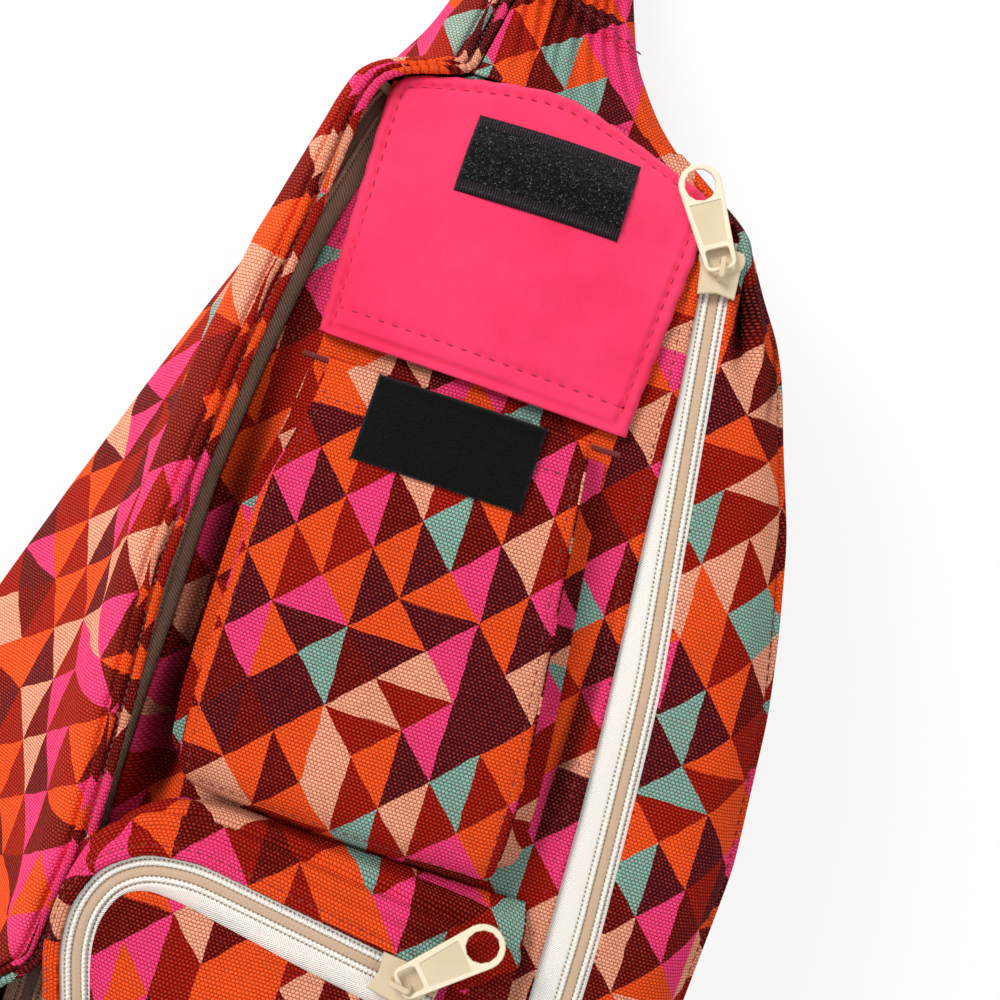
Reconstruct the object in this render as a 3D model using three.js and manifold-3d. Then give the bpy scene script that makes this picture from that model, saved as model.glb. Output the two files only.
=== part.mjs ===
// Sling backpack with two main compartments, a phone pocket and a lower zip pocket.
// Millimetres. The bag lies on its back panel: +Z out of the front, +Y towards the neck, +X to the right.
// Drawing coordinates start at the middle of the loop patch; the group is moved at the end so that its
// origin is at the middle of the underside.
import * as THREE from "three";
import { mergeVertices } from "three/addons/utils/BufferGeometryUtils.js";
import Module from "manifold-3d";

const wasm = await Module();
wasm.setup();

// Cloth and clearances
const CLOTH = 1.6; // printed canvas with its lining
const LINING = 0.9;
const GAP = 0.3; // between two pieces that are sewn or pressed together

// Body
const FRONT_HEIGHT = 102; // front panel over the floor, at its highest
const BOTTOM_Y = -252; // lower edge of the back panel
const NECK_Y = 206; // end of the neck
const FRONT_LOW_Y = -232; // seam between the front and the bottom panel
const FRONT_TOP_Y = 110; // seam between the front and the neck
const STRIP_LOW_Y = -226; // lower end of the two main zips
const NECK_SEAM_X = -30;
const SEAM_GAP = 1.3; // across a seam where the front bends down
const CROWN = 4.5; // how far the front bulges between its edges
const BACK_FOAM = 4.5;
const FOAM_INSET = 9;
const LINING_INSET = 6;
const DIVIDER_X = 4;
const DIVIDER_TOP_Y = 96;
const SHOULDER = 15.5; // width of the turned-over hem of the left side
const HEM_RISE = 1.2;
const STRIP_BULGE = 2;

// Zips
const COIL_WIDTH = 3.5;
const COIL_GAP = 1.6; // between the two rows, where the slider's blade runs
const COIL_TOP = 1.4; // over the middle of the tape
const COIL_BOTTOM = 1.1; // under the middle of the tape
const TAPE = 0.8;
const TAPE_REACH = 12; // from the middle of the zip to the edge of the front panel's tape
const SIDE_TAPE_REACH = 6.8; // the same on the side panels, where the tape is turned under
const PANEL_OVER_TAPE = 0.8;
const EDGE_CLEARANCE = 0.6; // from a coil to the cloth edge beside it

// Slider and puller
const PLATE_ABOVE = 3.4; // underside of the top plate over the middle of the tape
const PLATE = 1.5;
const PLATE_BELOW = 1.5; // top of the lower plate under the middle of the tape
const SLIDER_WIDTH = 14.4;
const SLIDER_LENGTH = 16;
const BLADE = 1;
const BLADE_LENGTH = 4;
const BAIL_WIDTH = 1.6;
const BAIL_REACH = 3.4; // half of its length
const BAIL_THICK = 1.1;
const PIVOT_HEIGHT = { right: 2.8, left: 1.3, lower: 2.8 }; // hinge of each puller over the top plate
const PULLER_LENGTH = 33;
const PULLER_WIDTH = 13;
const PULLER_EYE_WIDTH = 10;
const PULLER_THICK = 1.3;
const PULLER_BAR = 1.4;
const PULLER_RIM = 1.8;

// Phone pocket
const POCKET_TOP_Y = 9;
const POCKET_LOW_Y = -118;
const POCKET_DEPTH = 16;
const POCKET_MOUTH = 8.5;
const POCKET_SLOPE_LENGTH = 30; // stretch over which the pocket front falls to its mouth
const PLEAT = 5;
const BELLOWS_FOOT = 6; // from the edge of the pocket front to its side seam
const BARTACK = [9, 1.8, 0.8];

// Flap, lying open on the front
const FLAP_BASE_Y = 19.4;
const FLAP_BASE_HALF = 48.2;
const FLAP_TOP_HALF = 52.4;
const FLAP_CORNER_Y = 98;
const FLAP_ARCH = 13.5;
const FLAP_ROUND = 1.6; // power of the arch, 2 for a round one and 1 for a straight roof
const FLAP_SKEW = [0.024, 0.07]; // at its base and at its end, where it has slid round
const FLAP_LIFT = 0.9; // cloth lying loose on cloth
const FLAP_SHELL = 1.2;
const FLAP_LINING = 1;

// Hook and loop patches
const PATCH_LENGTH = 51;
const PATCH_WIDTH = 25.4;
const PATCH_THICK = 1.9;
const HOOK_CENTRE = [2.2, 85];

// Lower pocket
const BAND_TOP_Y = -121;
const BAND_LEVEL = 4; // cloth beside the coil that stays level
const BAND_BULGE = 3.5;
const LOW_POCKET_RIGHT_X = 63;
const LOW_POCKET_LOW_Y = -228;
const LOW_POCKET_BULGE = 7;
const LOW_TAPE_REACH = 7.5;
const LOW_OUTER_REACH = 5.2;

// Strap
const STRAP_WIDTH = 38;
const STRAP_FOAM = 7;
const STRAP_COVER = 1.5;
const WEBBING_WIDTH = 25;
const WEBBING = 1.8;
const LOCK_WIDTH = 36;
const LOCK_LENGTH = 31;
const LOCK_THICK = 4.2;
const LOCK_BAR = 4;
const LOCK_SLOT = 27;
const LOCK_LIFT = 4.4; // underside of the lock over the floor
const TAIL_LENGTH = 70;
const WING_THICK = 2.4;

// Lines that the pieces share, as [y, value] from the bottom of the bag to its neck
const leftOutline = line([
  [BOTTOM_Y, -58], [-242, -84], [-224, -108], [-196, -130], [-160, -144], [-120, -146], [-85, -136],
  [-13, -113], [44, -93], [81, -79], [117, -70], [141, -57], [175, -47], [NECK_Y, -42],
]);
const rightOutline = line([
  [BOTTOM_Y, 58], [-242, 82], [-225, 98], [-195, 111], [-150, 119], [-94, 120.4], [-48, 116], [-24, 111.5],
  [5, 105], [53, 87], [91, 66], [105, 46], [119, 30], [140, 16], [163, 8], [185, 2], [NECK_Y, 0],
]);
const rightSeamDrop = line([
  [BOTTOM_Y, 80], [-242, 64], [-225, 46], [-195, 30], [-150, 20], [-94, 15], [-24, 14], [53, 20], [91, 30],
  [105, 38], [119, 45], [140, 54], [163, 64], [185, 78], [NECK_Y, 88],
]);
const hemX = line([
  [BOTTOM_Y, -58], [-242, -66], [STRIP_LOW_Y, -79], [-212, -79], [-194, -78], [-182, -66], [-147, -62.5],
  [-94, -64.7], [-60, -66.8], [-30, -65.7], [8, -63], [50, -58.5], [88, -56.5], [99, -54],
  [106, -45], [FRONT_TOP_Y, NECK_SEAM_X], [NECK_Y, NECK_SEAM_X + 6],
]);
const hemDrop = line([
  [BOTTOM_Y, 62], [-242, 34], [STRIP_LOW_Y, 8], [-205, 2], [-150, 0], [-60, -2.5], [28, 0], [74, 6],
  [92, 10], [103, 14], [112, 20], [134, 36], [150, 46], [170, 60], [190, 77], [NECK_Y, 86],
]);

// The middle of each main zip, as [y, x, drop below the front's height]
const leftZipLine = [
  [96, -53, 24], [88, -56, 21], [50, -64, 15.5], [8, -68.5, 13.5], [-30, -71.2, 13], [-60, -71, 13],
  [-223, -69, 13],
];
const rightZipLine = [
  [84, 58.3, 13], [-47, 76.7, 2.6], [-67, 78.6, 2.2], [-94, 80.7, 2.2], [-125, 83, 2.8],
  [-160, 84, 4], [-195, 84, 6], [STRIP_LOW_Y, 82, 13],
];
// The lower pocket's zip: along the top from its slider, then round the corner and down the left side
const lowZipStart = [46, -151];
const lowZipMiddle = [8, -145.9]; // on the straight line from the start to the bend
const lowZipBend = [-30, -140.8];
const lowZipCorner = [[-44, -142.6], [-53, -149], [-57, -160]];
const lowZipEnd = [[-56.5, -172], [-49, -196], [-46, -222]];
const LOW_ZIP_RISE = 9; // over the front panel

const SLIDER_RIGHT_Y = 74;
const SLIDER_LEFT_Y = -210;
const SLIDER_LOW_X = 35;
const PULLER_TURN = { right: 24, left: 0, low: 51 }; // degrees away from the line of each zip

// Straight lines between hand-set stations, as a function of y
function line(stations) {
  const sorted = [...stations].sort((a, b) => a[0] - b[0]);
  return (y) => {
    const last = sorted.length - 1;
    if (y <= sorted[0][0]) return sorted[0][1];
    if (y >= sorted[last][0]) return sorted[last][1];
    const k = sorted.findIndex((s) => s[0] > y) - 1;
    const share = (y - sorted[k][0]) / (sorted[k + 1][0] - sorted[k][0]);
    return THREE.MathUtils.lerp(sorted[k][1], sorted[k + 1][1], share);
  };
}

const mix = THREE.MathUtils.lerp;
const vec = (x, y, z) => new THREE.Vector3(x, y, z);
const leftZipX = line(leftZipLine.map(([y, x]) => [y, x]));
const leftZipZ = line(leftZipLine.map(([y, , drop]) => [y, FRONT_HEIGHT - drop]));
const rightZipX = line(rightZipLine.map(([y, x]) => [y, x]));
const rightZipZ = line(rightZipLine.map(([y, , drop]) => [y, FRONT_HEIGHT - drop]));
const clothOverTape = TAPE / 2 + PANEL_OVER_TAPE + CLOTH;
const coilEdge = COIL_GAP / 2 + COIL_WIDTH;
const hemZ = (y) => FRONT_HEIGHT - hemDrop(y);
const seamZ = (y) => FRONT_HEIGHT - rightSeamDrop(y);

// Edges of the front panel
const showLeftTape = line([[-226, 9], [-147, 8.5], [8, 8.8], [50, 9.3], [92, 9.5]]);
const showRightTape = line([[-226, 11], [-94, 11], [-37, 11], [36, 6], [72, 5], [90, 5]]);
const frontLeftX = line([
  ...[-226, -147, -60, -30, 8, 50, 88].map((y) => [y, leftZipX(y) + showLeftTape(y)]),
  [103, -41], [FRONT_TOP_Y, NECK_SEAM_X + GAP],
]);
const frontRightX = line([
  ...[-226, -160, -94, -67, -47, 0, 36, 72, 88].map((y) => [y, rightZipX(y) - showRightTape(y)]),
  [99, 46], [FRONT_TOP_Y, 33.5],
]);
const frontLeftZ = (y) => Math.min(leftZipZ(y) + clothOverTape, hemZ(y));
const overTop = FRONT_HEIGHT - rightZipLine[0][2] + clothOverTape;
const zipHeights = [[86.5, overTop], ...rightZipLine.map(([y, , drop]) => [y, FRONT_HEIGHT - drop + clothOverTape])];
const frontRightZ = line([...zipHeights, [99, FRONT_HEIGHT - 20], [FRONT_TOP_Y, FRONT_HEIGHT - 28]]);

// Rows of the front panel, where its edges and heights turn
const frontStations = [
  FRONT_LOW_Y, -226, -211, -195, -178, -160, -143, -125, -109, -94, -80, -67, -47, -30, -11, 8, 29, 50, 61, 72,
  84, 86.5, 92, 99, 103, 106, FRONT_TOP_Y,
];

// Height of the front panel's outside at a point of the plan
function frontZ(x, y) {
  const share = THREE.MathUtils.clamp((x - frontLeftX(y)) / (frontRightX(y) - frontLeftX(y)), 0, 1);
  return mix(frontLeftZ(y), frontRightZ(y), share) + CROWN * Math.sin(Math.PI * share) ** 2;
}

// Turns points and triangles into one closed geometry with its faces outwards
function closed(points, triangles) {
  let volume = 0;
  for (const [a, b, c] of triangles)
    volume += points[a].dot(points[b].clone().cross(points[c]));
  const faces = volume < 0 ? triangles.map(([a, b, c]) => [a, c, b]) : triangles;
  const geometry = new THREE.BufferGeometry();
  geometry.setAttribute("position", new THREE.Float32BufferAttribute(points.flatMap((p) => p.toArray()), 3));
  geometry.setIndex(faces.flat());
  return geometry;
}

// A closed solid between two grids of points, (columns + 1) by (rows + 1) each
function between(top, bottom, columns, rows) {
  const points = [...top, ...bottom];
  const triangles = [];
  const at = (i, j, side) => side * top.length + j * (columns + 1) + i;
  const quad = (a, b, c, d) => triangles.push([a, b, c], [a, c, d]);
  for (let j = 0; j < rows; j++)
    for (let i = 0; i < columns; i++) {
      quad(at(i, j, 0), at(i + 1, j, 0), at(i + 1, j + 1, 0), at(i, j + 1, 0));
      quad(at(i, j, 1), at(i, j + 1, 1), at(i + 1, j + 1, 1), at(i + 1, j, 1));
    }
  for (let i = 0; i < columns; i++) {
    quad(at(i, 0, 0), at(i, 0, 1), at(i + 1, 0, 1), at(i + 1, 0, 0));
    quad(at(i, rows, 0), at(i + 1, rows, 0), at(i + 1, rows, 1), at(i, rows, 1));
  }
  for (let j = 0; j < rows; j++) {
    quad(at(0, j, 0), at(0, j + 1, 0), at(0, j + 1, 1), at(0, j, 1));
    quad(at(columns, j, 0), at(columns, j, 1), at(columns, j + 1, 1), at(columns, j + 1, 0));
  }
  return closed(points, triangles);
}

// A cloth shell: rows of outside points, thickened inwards along the normal.
// Columns run across and rows along, so that across x along points outwards.
function shell(rows, thickness = CLOTH) {
  const inside = rows.map((row, j) =>
    row.map((p, i) => {
      const across = row[Math.min(i + 1, row.length - 1)].clone().sub(row[Math.max(i - 1, 0)]);
      const along = rows[Math.min(j + 1, rows.length - 1)][i].clone().sub(rows[Math.max(j - 1, 0)][i]);
      return p.clone().addScaledVector(across.cross(along).normalize(), -thickness);
    }),
  );
  return between(rows.flat(), inside.flat(), rows[0].length - 1, rows.length - 1);
}

// A cloth panel whose outside is pointAt(u, v), with u across and v along
function panel(pointAt, columns, rows, thickness = CLOTH) {
  const grid = [];
  for (let j = 0; j <= rows; j++) {
    const row = [];
    for (let i = 0; i <= columns; i++) row.push(pointAt(i / columns, j / rows));
    grid.push(row);
  }
  return shell(grid, thickness);
}

// A layer that lies on something: plan(u, v) gives x and y, under(x, y) the height of its underside
function layer(plan, under, thickness, columns, rows) {
  const top = [];
  const bottom = [];
  for (let j = 0; j <= rows; j++)
    for (let i = 0; i <= columns; i++) {
      const [x, y] = plan(i / columns, j / rows);
      const z = under(x, y);
      bottom.push(vec(x, y, z));
      top.push(vec(x, y, z + thickness));
    }
  return between(top, bottom, columns, rows);
}

// Frames along a list of points: travel, side and up. A fixed side keeps a ribbon's edges parallel.
function framesAlong(path, fixedSide) {
  return path.map((p, k) => {
    const before = path[Math.max(k - 1, 0)];
    const after = path[Math.min(k + 1, path.length - 1)];
    const travel = after.clone().sub(before).normalize();
    const side = fixedSide ? fixedSide.clone() : travel.clone().cross(vec(0, 0, 1)).normalize();
    return { p, side, up: side.clone().cross(travel).normalize() };
  });
}

const offset = ({ p, side, up }, s, n) => p.clone().addScaledVector(side, s).addScaledVector(up, n);

// A strip of one section, [side, up] pairs, carried along a list of points
function sweep(path, section, fixedSide) {
  const points = framesAlong(path, fixedSide).flatMap((frame) => section.map(([s, n]) => offset(frame, s, n)));
  const triangles = [];
  const count = section.length;
  for (let k = 0; k < path.length - 1; k++)
    for (let i = 0; i < count; i++) {
      const a = k * count + i;
      const b = k * count + ((i + 1) % count);
      triangles.push([a, b, b + count], [a, b + count, a + count]);
    }
  const outline = section.map(([s, n]) => new THREE.Vector2(s, n));
  const clockwise = THREE.ShapeUtils.isClockWise(outline);
  const end = (path.length - 1) * count;
  for (const [a, b, c] of THREE.ShapeUtils.triangulateShape(outline, [])) {
    triangles.push(clockwise ? [a, b, c] : [a, c, b]);
    triangles.push(clockwise ? [end + a, end + c, end + b] : [end + a, end + b, end + c]);
  }
  return closed(points, triangles);
}

function solid(geometry) {
  const bare = new THREE.BufferGeometry();
  bare.setAttribute("position", geometry.getAttribute("position"));
  if (geometry.index) bare.setIndex(geometry.index);
  const merged = mergeVertices(bare, 1e-4);
  return new wasm.Manifold(
    new wasm.Mesh({
      numProp: 3,
      vertProperties: merged.attributes.position.array,
      triVerts: new Uint32Array(merged.index.array),
    }),
  );
}

function geometryOf(made) {
  const mesh = made.getMesh();
  const geometry = new THREE.BufferGeometry();
  geometry.setAttribute("position", new THREE.BufferAttribute(mesh.vertProperties, 3));
  geometry.setIndex(new THREE.BufferAttribute(mesh.triVerts, 1));
  return geometry;
}

function plate(shape, depth, curveSegments = 8) {
  return new THREE.ExtrudeGeometry(shape, { depth, bevelEnabled: false, curveSegments });
}

function bevelled(shape, depth, bevel, curveSegments = 8) {
  const options = {
    depth: depth - 2 * bevel, bevelEnabled: true, bevelThickness: bevel, bevelSize: bevel,
    bevelOffset: -bevel, bevelSegments: 1, curveSegments,
  };
  return new THREE.ExtrudeGeometry(shape, options).translate(0, 0, bevel);
}

// Materials
const material = (color, roughness, metalness = 0) =>
  new THREE.MeshStandardMaterial({ color, roughness, metalness });
const printed = material(0x8c2a2c, 0.85);
const pink = material(0xff4b78, 0.8);
const black = material(0x0b0b0d, 0.95);
const cream = material(0xf4ead4, 0.75);
const taupe = material(0x6e5546, 0.8);
const enamel = material(0xe6dcc0, 0.4, 0.2);
const foam = material(0x3a3a3c, 0.95);
const liningCloth = material(0x8a3040, 0.85);
const webbingCloth = material(0x5a1a20, 0.85);
const plastic = material(0x2a1518, 0.5);
const thread = material(0x5b1620, 0.8);

const bag = new THREE.Group();

function add(name, geometry, finish, parent = bag) {
  const mesh = new THREE.Mesh(geometry, finish);
  mesh.name = name;
  parent.add(mesh);
  return mesh;
}

// Back of the bag
function addBack() {
  const plan = (inset) => (u, v) => {
    const y = mix(BOTTOM_Y + inset, NECK_Y - inset, v);
    return [mix(leftOutline(y) + inset, rightOutline(y) - 8 - inset, u), y];
  };
  const foamTop = CLOTH + GAP + BACK_FOAM;
  add("back_panel", layer(plan(0), () => 0, CLOTH, 3, 16), printed);
  add("back_foam_pad", layer(plan(FOAM_INSET), () => CLOTH + GAP, BACK_FOAM, 3, 14), foam);
  add("back_lining", layer(plan(LINING_INSET), () => foamTop + GAP, LINING, 3, 14), liningCloth);
}

// Left side: from the floor seam up to the folded hem that covers the zip
function leftSidePoint(u, v) {
  const y = mix(BOTTOM_Y + 3, NECK_Y, v);
  const edge = hemX(y);
  const top = hemZ(y);
  const out = leftOutline(y);
  const shoulder = Math.min(SHOULDER, 0.45 * (edge - out));
  const run = edge - shoulder - out;
  const floor = CLOTH + GAP;
  const x = (share) => edge - shoulder - run * share;
  const z = (share) => floor + (top - floor) * share;
  const profile = [
    [x(0.97), floor], [x(1), z(0.12)], [x(0.84), z(0.26)], [x(0.6), z(0.38)], [x(0.34), z(0.56)],
    [x(0.14), z(0.78)], [x(0.02), z(0.95)], [edge - shoulder * 0.72, z(1) + HEM_RISE * 0.8],
    [edge - shoulder * 0.35, z(1) + HEM_RISE], [edge, z(1)],
  ];
  const place = u * (profile.length - 1);
  const k = Math.min(Math.floor(place), profile.length - 2);
  return vec(mix(profile[k][0], profile[k + 1][0], place - k), y, mix(profile[k][1], profile[k + 1][1], place - k));
}

const stripInnerZ = line([...zipHeights, [97, FRONT_HEIGHT - 22], [FRONT_TOP_Y, FRONT_HEIGHT - 34]]);

function rightStripPoint(u, y) {
  const edge = Math.min(rightZipX(y) + coilEdge + EDGE_CLEARANCE, rightOutline(y) - 5);
  const x = mix(edge, rightOutline(y), u);
  return vec(x, y, mix(stripInnerZ(y), seamZ(y), u ** 3) + STRIP_BULGE * Math.sin(Math.PI * u * u));
}

function rightSidePoint(u, v) {
  const y = mix(BOTTOM_Y + 3, NECK_Y, v);
  const floor = CLOTH + GAP;
  const top = seamZ(y) - CLOTH - 2 * GAP;
  const bulge = 3 * Math.sin(Math.PI * u);
  return vec(mix(rightOutline(y), rightOutline(y) - 8.5, u) + bulge, y, mix(top, floor, u));
}

function bottomPoint(u, v) {
  const low = vec(mix(leftOutline(BOTTOM_Y) + 3, rightOutline(BOTTOM_Y) - 10, u), BOTTOM_Y + 1, CLOTH + GAP);
  const topX = mix(hemX(FRONT_LOW_Y) + 9, rightOutline(FRONT_LOW_Y) - 14, u);
  const high = vec(topX, FRONT_LOW_Y - GAP - 1, frontZ(topX, FRONT_LOW_Y) - 3);
  const point = low.lerp(high, v);
  const bulge = Math.sin(Math.PI * v);
  return point.add(vec(0, -7 * bulge, 6 * bulge));
}

function neckPoint(u, v) {
  const y = mix(FRONT_TOP_Y + SEAM_GAP, NECK_Y, v);
  const left = hemX(y) + SEAM_GAP;
  const right = rightOutline(y);
  const z = mix(hemZ(y), seamZ(y), u) + CROWN * (1 - (2 * u - 1) ** 4);
  return vec(mix(left, right, u), y, z);
}

function addBody() {
  const frontRows = frontStations.map((y) => {
    const row = [];
    for (let i = 0; i <= 10; i++) row.push(mix(frontLeftX(y), frontRightX(y), i / 10));
    return row.map((x) => vec(x, y, frontZ(x, y)));
  });
  add("front_panel", shell(frontRows), printed);
  add("left_side_panel", panel(leftSidePoint, 9, 30), printed);
  const stripRows = frontStations
    .filter((y) => y >= STRIP_LOW_Y)
    .map((y) => [0, 0.25, 0.5, 0.75, 1].map((u) => rightStripPoint(u, y)));
  add("right_front_strip", shell(stripRows), printed);
  add("right_side_panel", panel(rightSidePoint, 4, 28), printed);
  add("bottom_panel", panel(bottomPoint, 8, 5), printed);
  add("neck_panel", panel(neckPoint, 5, 7), printed);
}

// The wall between the two main compartments
function addDivider() {
  const foot = CLOTH + BACK_FOAM + LINING + 3 * GAP;
  const wall = (u, v) => {
    const y = mix(FRONT_LOW_Y + 20, DIVIDER_TOP_Y, v);
    const top = frontZ(DIVIDER_X, y) - CLOTH - 0.8;
    return vec(DIVIDER_X, y, mix(foot, top, u));
  };
  add("divider_panel", panel(wall, 3, 14, LINING), liningCloth);
}

// Zips. A zip is a path of points in the tape's plane with a slider on its first, straight stretch.
function stringerSection(side, reach) {
  const near = COIL_GAP / 2;
  const section = [
    [near, -COIL_BOTTOM], [coilEdge, -COIL_BOTTOM], [coilEdge, -TAPE / 2], [reach, -TAPE / 2],
    [reach, TAPE / 2], [coilEdge, TAPE / 2], [coilEdge, COIL_TOP], [near, COIL_TOP],
  ];
  return side > 0 ? section : section.map(([s, n]) => [-s, n]).reverse();
}

const eyeHalfWidth = PULLER_EYE_WIDTH / 2 - PULLER_BAR;
const eyeEnd = BAIL_REACH + BAIL_THICK + 1.6;

// The slider in its own frame: +X along the zip towards its closed end, +Z out of the bag
function sliderGeometry(pivot) {
  const w = SLIDER_WIDTH / 2;
  const nose = SLIDER_LENGTH / 2;
  const shape = new THREE.Shape();
  shape.moveTo(-nose, -w * 0.78);
  shape.lineTo(nose * 0.1, -w * 0.84);
  shape.quadraticCurveTo(nose * 0.5, -w * 1.1, nose * 0.78, -w * 0.86);
  shape.quadraticCurveTo(nose * 0.88, -w * 0.3, nose, 0);
  shape.quadraticCurveTo(nose * 0.88, w * 0.3, nose * 0.78, w * 0.86);
  shape.quadraticCurveTo(nose * 0.5, w * 1.1, nose * 0.1, w * 0.84);
  shape.lineTo(-nose, w * 0.78);
  shape.lineTo(-nose * 0.86, 0);
  shape.closePath();
  const top = solid(bevelled(shape, PLATE, 0.35, 5).translate(0, 0, PLATE_ABOVE));
  const low = solid(bevelled(shape, PLATE, 0.35, 5).translate(0, 0, -PLATE_BELOW - PLATE));
  const bladeHeight = PLATE_ABOVE + PLATE_BELOW + PLATE;
  const blade = solid(
    new THREE.BoxGeometry(BLADE_LENGTH, BLADE, bladeHeight)
      .translate(nose * 0.5, 0, (PLATE_ABOVE - PLATE_BELOW) / 2),
  );
  const arch = new THREE.Shape();
  const reach = BAIL_REACH;
  const height = pivot + 1.3 + BAIL_THICK;
  arch.moveTo(-reach, -0.4);
  arch.lineTo(-reach, height - 1.6);
  arch.quadraticCurveTo(-reach, height, -reach + 1.7, height);
  arch.lineTo(reach - 1.7, height);
  arch.quadraticCurveTo(reach, height, reach, height - 1.6);
  arch.lineTo(reach, -0.4);
  arch.lineTo(reach - BAIL_THICK, -0.4);
  arch.lineTo(reach - BAIL_THICK, height - BAIL_THICK - 0.9);
  arch.quadraticCurveTo(reach - BAIL_THICK, height - BAIL_THICK, reach - 1.9, height - BAIL_THICK);
  arch.lineTo(1.9 - reach, height - BAIL_THICK);
  arch.quadraticCurveTo(BAIL_THICK - reach, height - BAIL_THICK, BAIL_THICK - reach, height - BAIL_THICK - 0.9);
  arch.lineTo(BAIL_THICK - reach, -0.4);
  arch.closePath();
  const bail = solid(
    bevelled(arch, BAIL_WIDTH, 0.25, 4)
      .translate(0, 0, -BAIL_WIDTH / 2)
      .rotateX(Math.PI / 2)
      .translate(0, 0, PLATE_ABOVE + PLATE),
  );
  return geometryOf(top.add(low).add(blade).add(bail));
}

// The puller in its own frame: the middle of its bar at the origin, +X along the puller
function pullerGeometry() {
  const bar = PULLER_BAR / 2;
  const far = PULLER_LENGTH - bar;
  const narrow = PULLER_EYE_WIDTH / 2;
  const wide = PULLER_WIDTH / 2;
  const shape = new THREE.Shape();
  shape.moveTo(-bar, 0);
  shape.bezierCurveTo(-bar, -narrow * 0.85, 0, -narrow, narrow * 0.8, -narrow);
  shape.lineTo(far - wide, -wide);
  shape.absarc(far - wide, 0, wide, -Math.PI / 2, Math.PI / 2, false);
  shape.lineTo(narrow * 0.8, narrow);
  shape.bezierCurveTo(0, narrow, -bar, narrow * 0.85, -bar, 0);
  const hole = new THREE.Path();
  hole.absellipse(far - wide, 0, wide - PULLER_RIM * 0.9, wide - PULLER_RIM, 0, 2 * Math.PI, true, 0);
  shape.holes.push(hole);
  const eye = new THREE.Path();
  const round = 1.2;
  eye.moveTo(bar, 0);
  eye.lineTo(bar, eyeHalfWidth - round);
  eye.quadraticCurveTo(bar, eyeHalfWidth, bar + round, eyeHalfWidth);
  eye.lineTo(eyeEnd - round, eyeHalfWidth);
  eye.quadraticCurveTo(eyeEnd, eyeHalfWidth, eyeEnd, eyeHalfWidth - round);
  eye.lineTo(eyeEnd, round - eyeHalfWidth);
  eye.quadraticCurveTo(eyeEnd, -eyeHalfWidth, eyeEnd - round, -eyeHalfWidth);
  eye.lineTo(bar + round, -eyeHalfWidth);
  eye.quadraticCurveTo(bar, -eyeHalfWidth, bar, round - eyeHalfWidth);
  eye.closePath();
  shape.holes.push(eye);
  const body = solid(bevelled(shape, PULLER_THICK, 0.3, 6).translate(0, 0, -PULLER_THICK / 2));
  const recess = new THREE.Shape();
  const start = eyeEnd + 1.6;
  const end = far - 2 * wide + PULLER_RIM - 0.8;
  recess.moveTo(start, -narrow + 1.4);
  recess.lineTo(end, -wide + 1.7);
  recess.lineTo(end, wide - 1.7);
  recess.lineTo(start, narrow - 1.4);
  recess.closePath();
  const pocket = solid(plate(recess, 1).translate(0, 0, PULLER_THICK / 2 - 0.25));
  return geometryOf(body.subtract(pocket));
}

function addZip(name, path, tapes, finish, slider) {
  const upright = vec(0, 0, 1);
  for (const { side, label, reach } of tapes)
    add(name + "_zip_" + label + "_tape", sweep(path, stringerSection(side, reach)), finish);
  const end = path[path.length - 1];
  const before = path[path.length - 2];
  const away = end.clone().sub(before).normalize();
  const stop = add(name + "_zip_stop", new THREE.BoxGeometry(3, 2 * coilEdge + 1, 3.2), enamel);
  stop.position.copy(end).addScaledVector(away, 1.5 + GAP);
  stop.quaternion.setFromRotationMatrix(frameAlong(away.clone().negate(), upright));
  const closedWay = path[0].clone().sub(path[1]).normalize();
  const carriage = new THREE.Group();
  carriage.position.copy(path[0]).lerp(path[1], slider.share);
  carriage.quaternion.setFromRotationMatrix(frameAlong(closedWay, upright));
  bag.add(carriage);
  add(name + "_zip_slider", sliderGeometry(PIVOT_HEIGHT[name]), enamel, carriage);
  const puller = add(name + "_zip_puller", pullerGeometry(), enamel, carriage);
  puller.position.z = PLATE_ABOVE + PLATE + PIVOT_HEIGHT[name];
  puller.rotation.z = THREE.MathUtils.degToRad(slider.turn);
}

// Axes of a frame with X along a direction and Z as near up as it can be
function frameAlong(direction, up) {
  const x = direction.clone().normalize();
  const y = up.clone().cross(x).normalize();
  const z = x.clone().cross(y);
  return new THREE.Matrix4().makeBasis(x, y, z);
}

function mainZipPath(stations) {
  return stations.map(([y, x, drop]) => vec(x, y, FRONT_HEIGHT - drop));
}

const lowZipHeight = () => FRONT_HEIGHT + LOW_ZIP_RISE;

function lowZipPath() {
  const plan = [lowZipStart, lowZipMiddle, lowZipBend, ...lowZipCorner, ...lowZipEnd];
  return plan.map(([x, y]) => vec(x, y, lowZipHeight() - Math.max(0, -y - 150) * 0.12));
}

function addZips() {
  const right = mainZipPath(rightZipLine);
  const left = mainZipPath(leftZipLine).reverse();
  const low = lowZipPath();
  const rightShare = (right[0].y - SLIDER_RIGHT_Y) / (right[0].y - right[1].y);
  const leftShare = (left[0].y - SLIDER_LEFT_Y) / (left[0].y - left[1].y);
  const lowShare = (low[0].x - SLIDER_LOW_X) / (low[0].x - low[1].x);
  const rightTapes = [
    { side: 1, label: "left", reach: TAPE_REACH },
    { side: -1, label: "right", reach: SIDE_TAPE_REACH },
  ];
  const leftTapes = [
    { side: -1, label: "left", reach: SIDE_TAPE_REACH },
    { side: 1, label: "right", reach: TAPE_REACH },
  ];
  const lowTapes = [
    { side: 1, label: "outer", reach: LOW_OUTER_REACH },
    { side: -1, label: "inner", reach: LOW_TAPE_REACH },
  ];
  addZip("right", right, rightTapes, cream, { share: rightShare, turn: PULLER_TURN.right });
  addZip("left", left, leftTapes, taupe, { share: leftShare, turn: PULLER_TURN.left });
  addZip("lower", low, lowTapes, cream, { share: lowShare, turn: PULLER_TURN.low });
}

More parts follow.
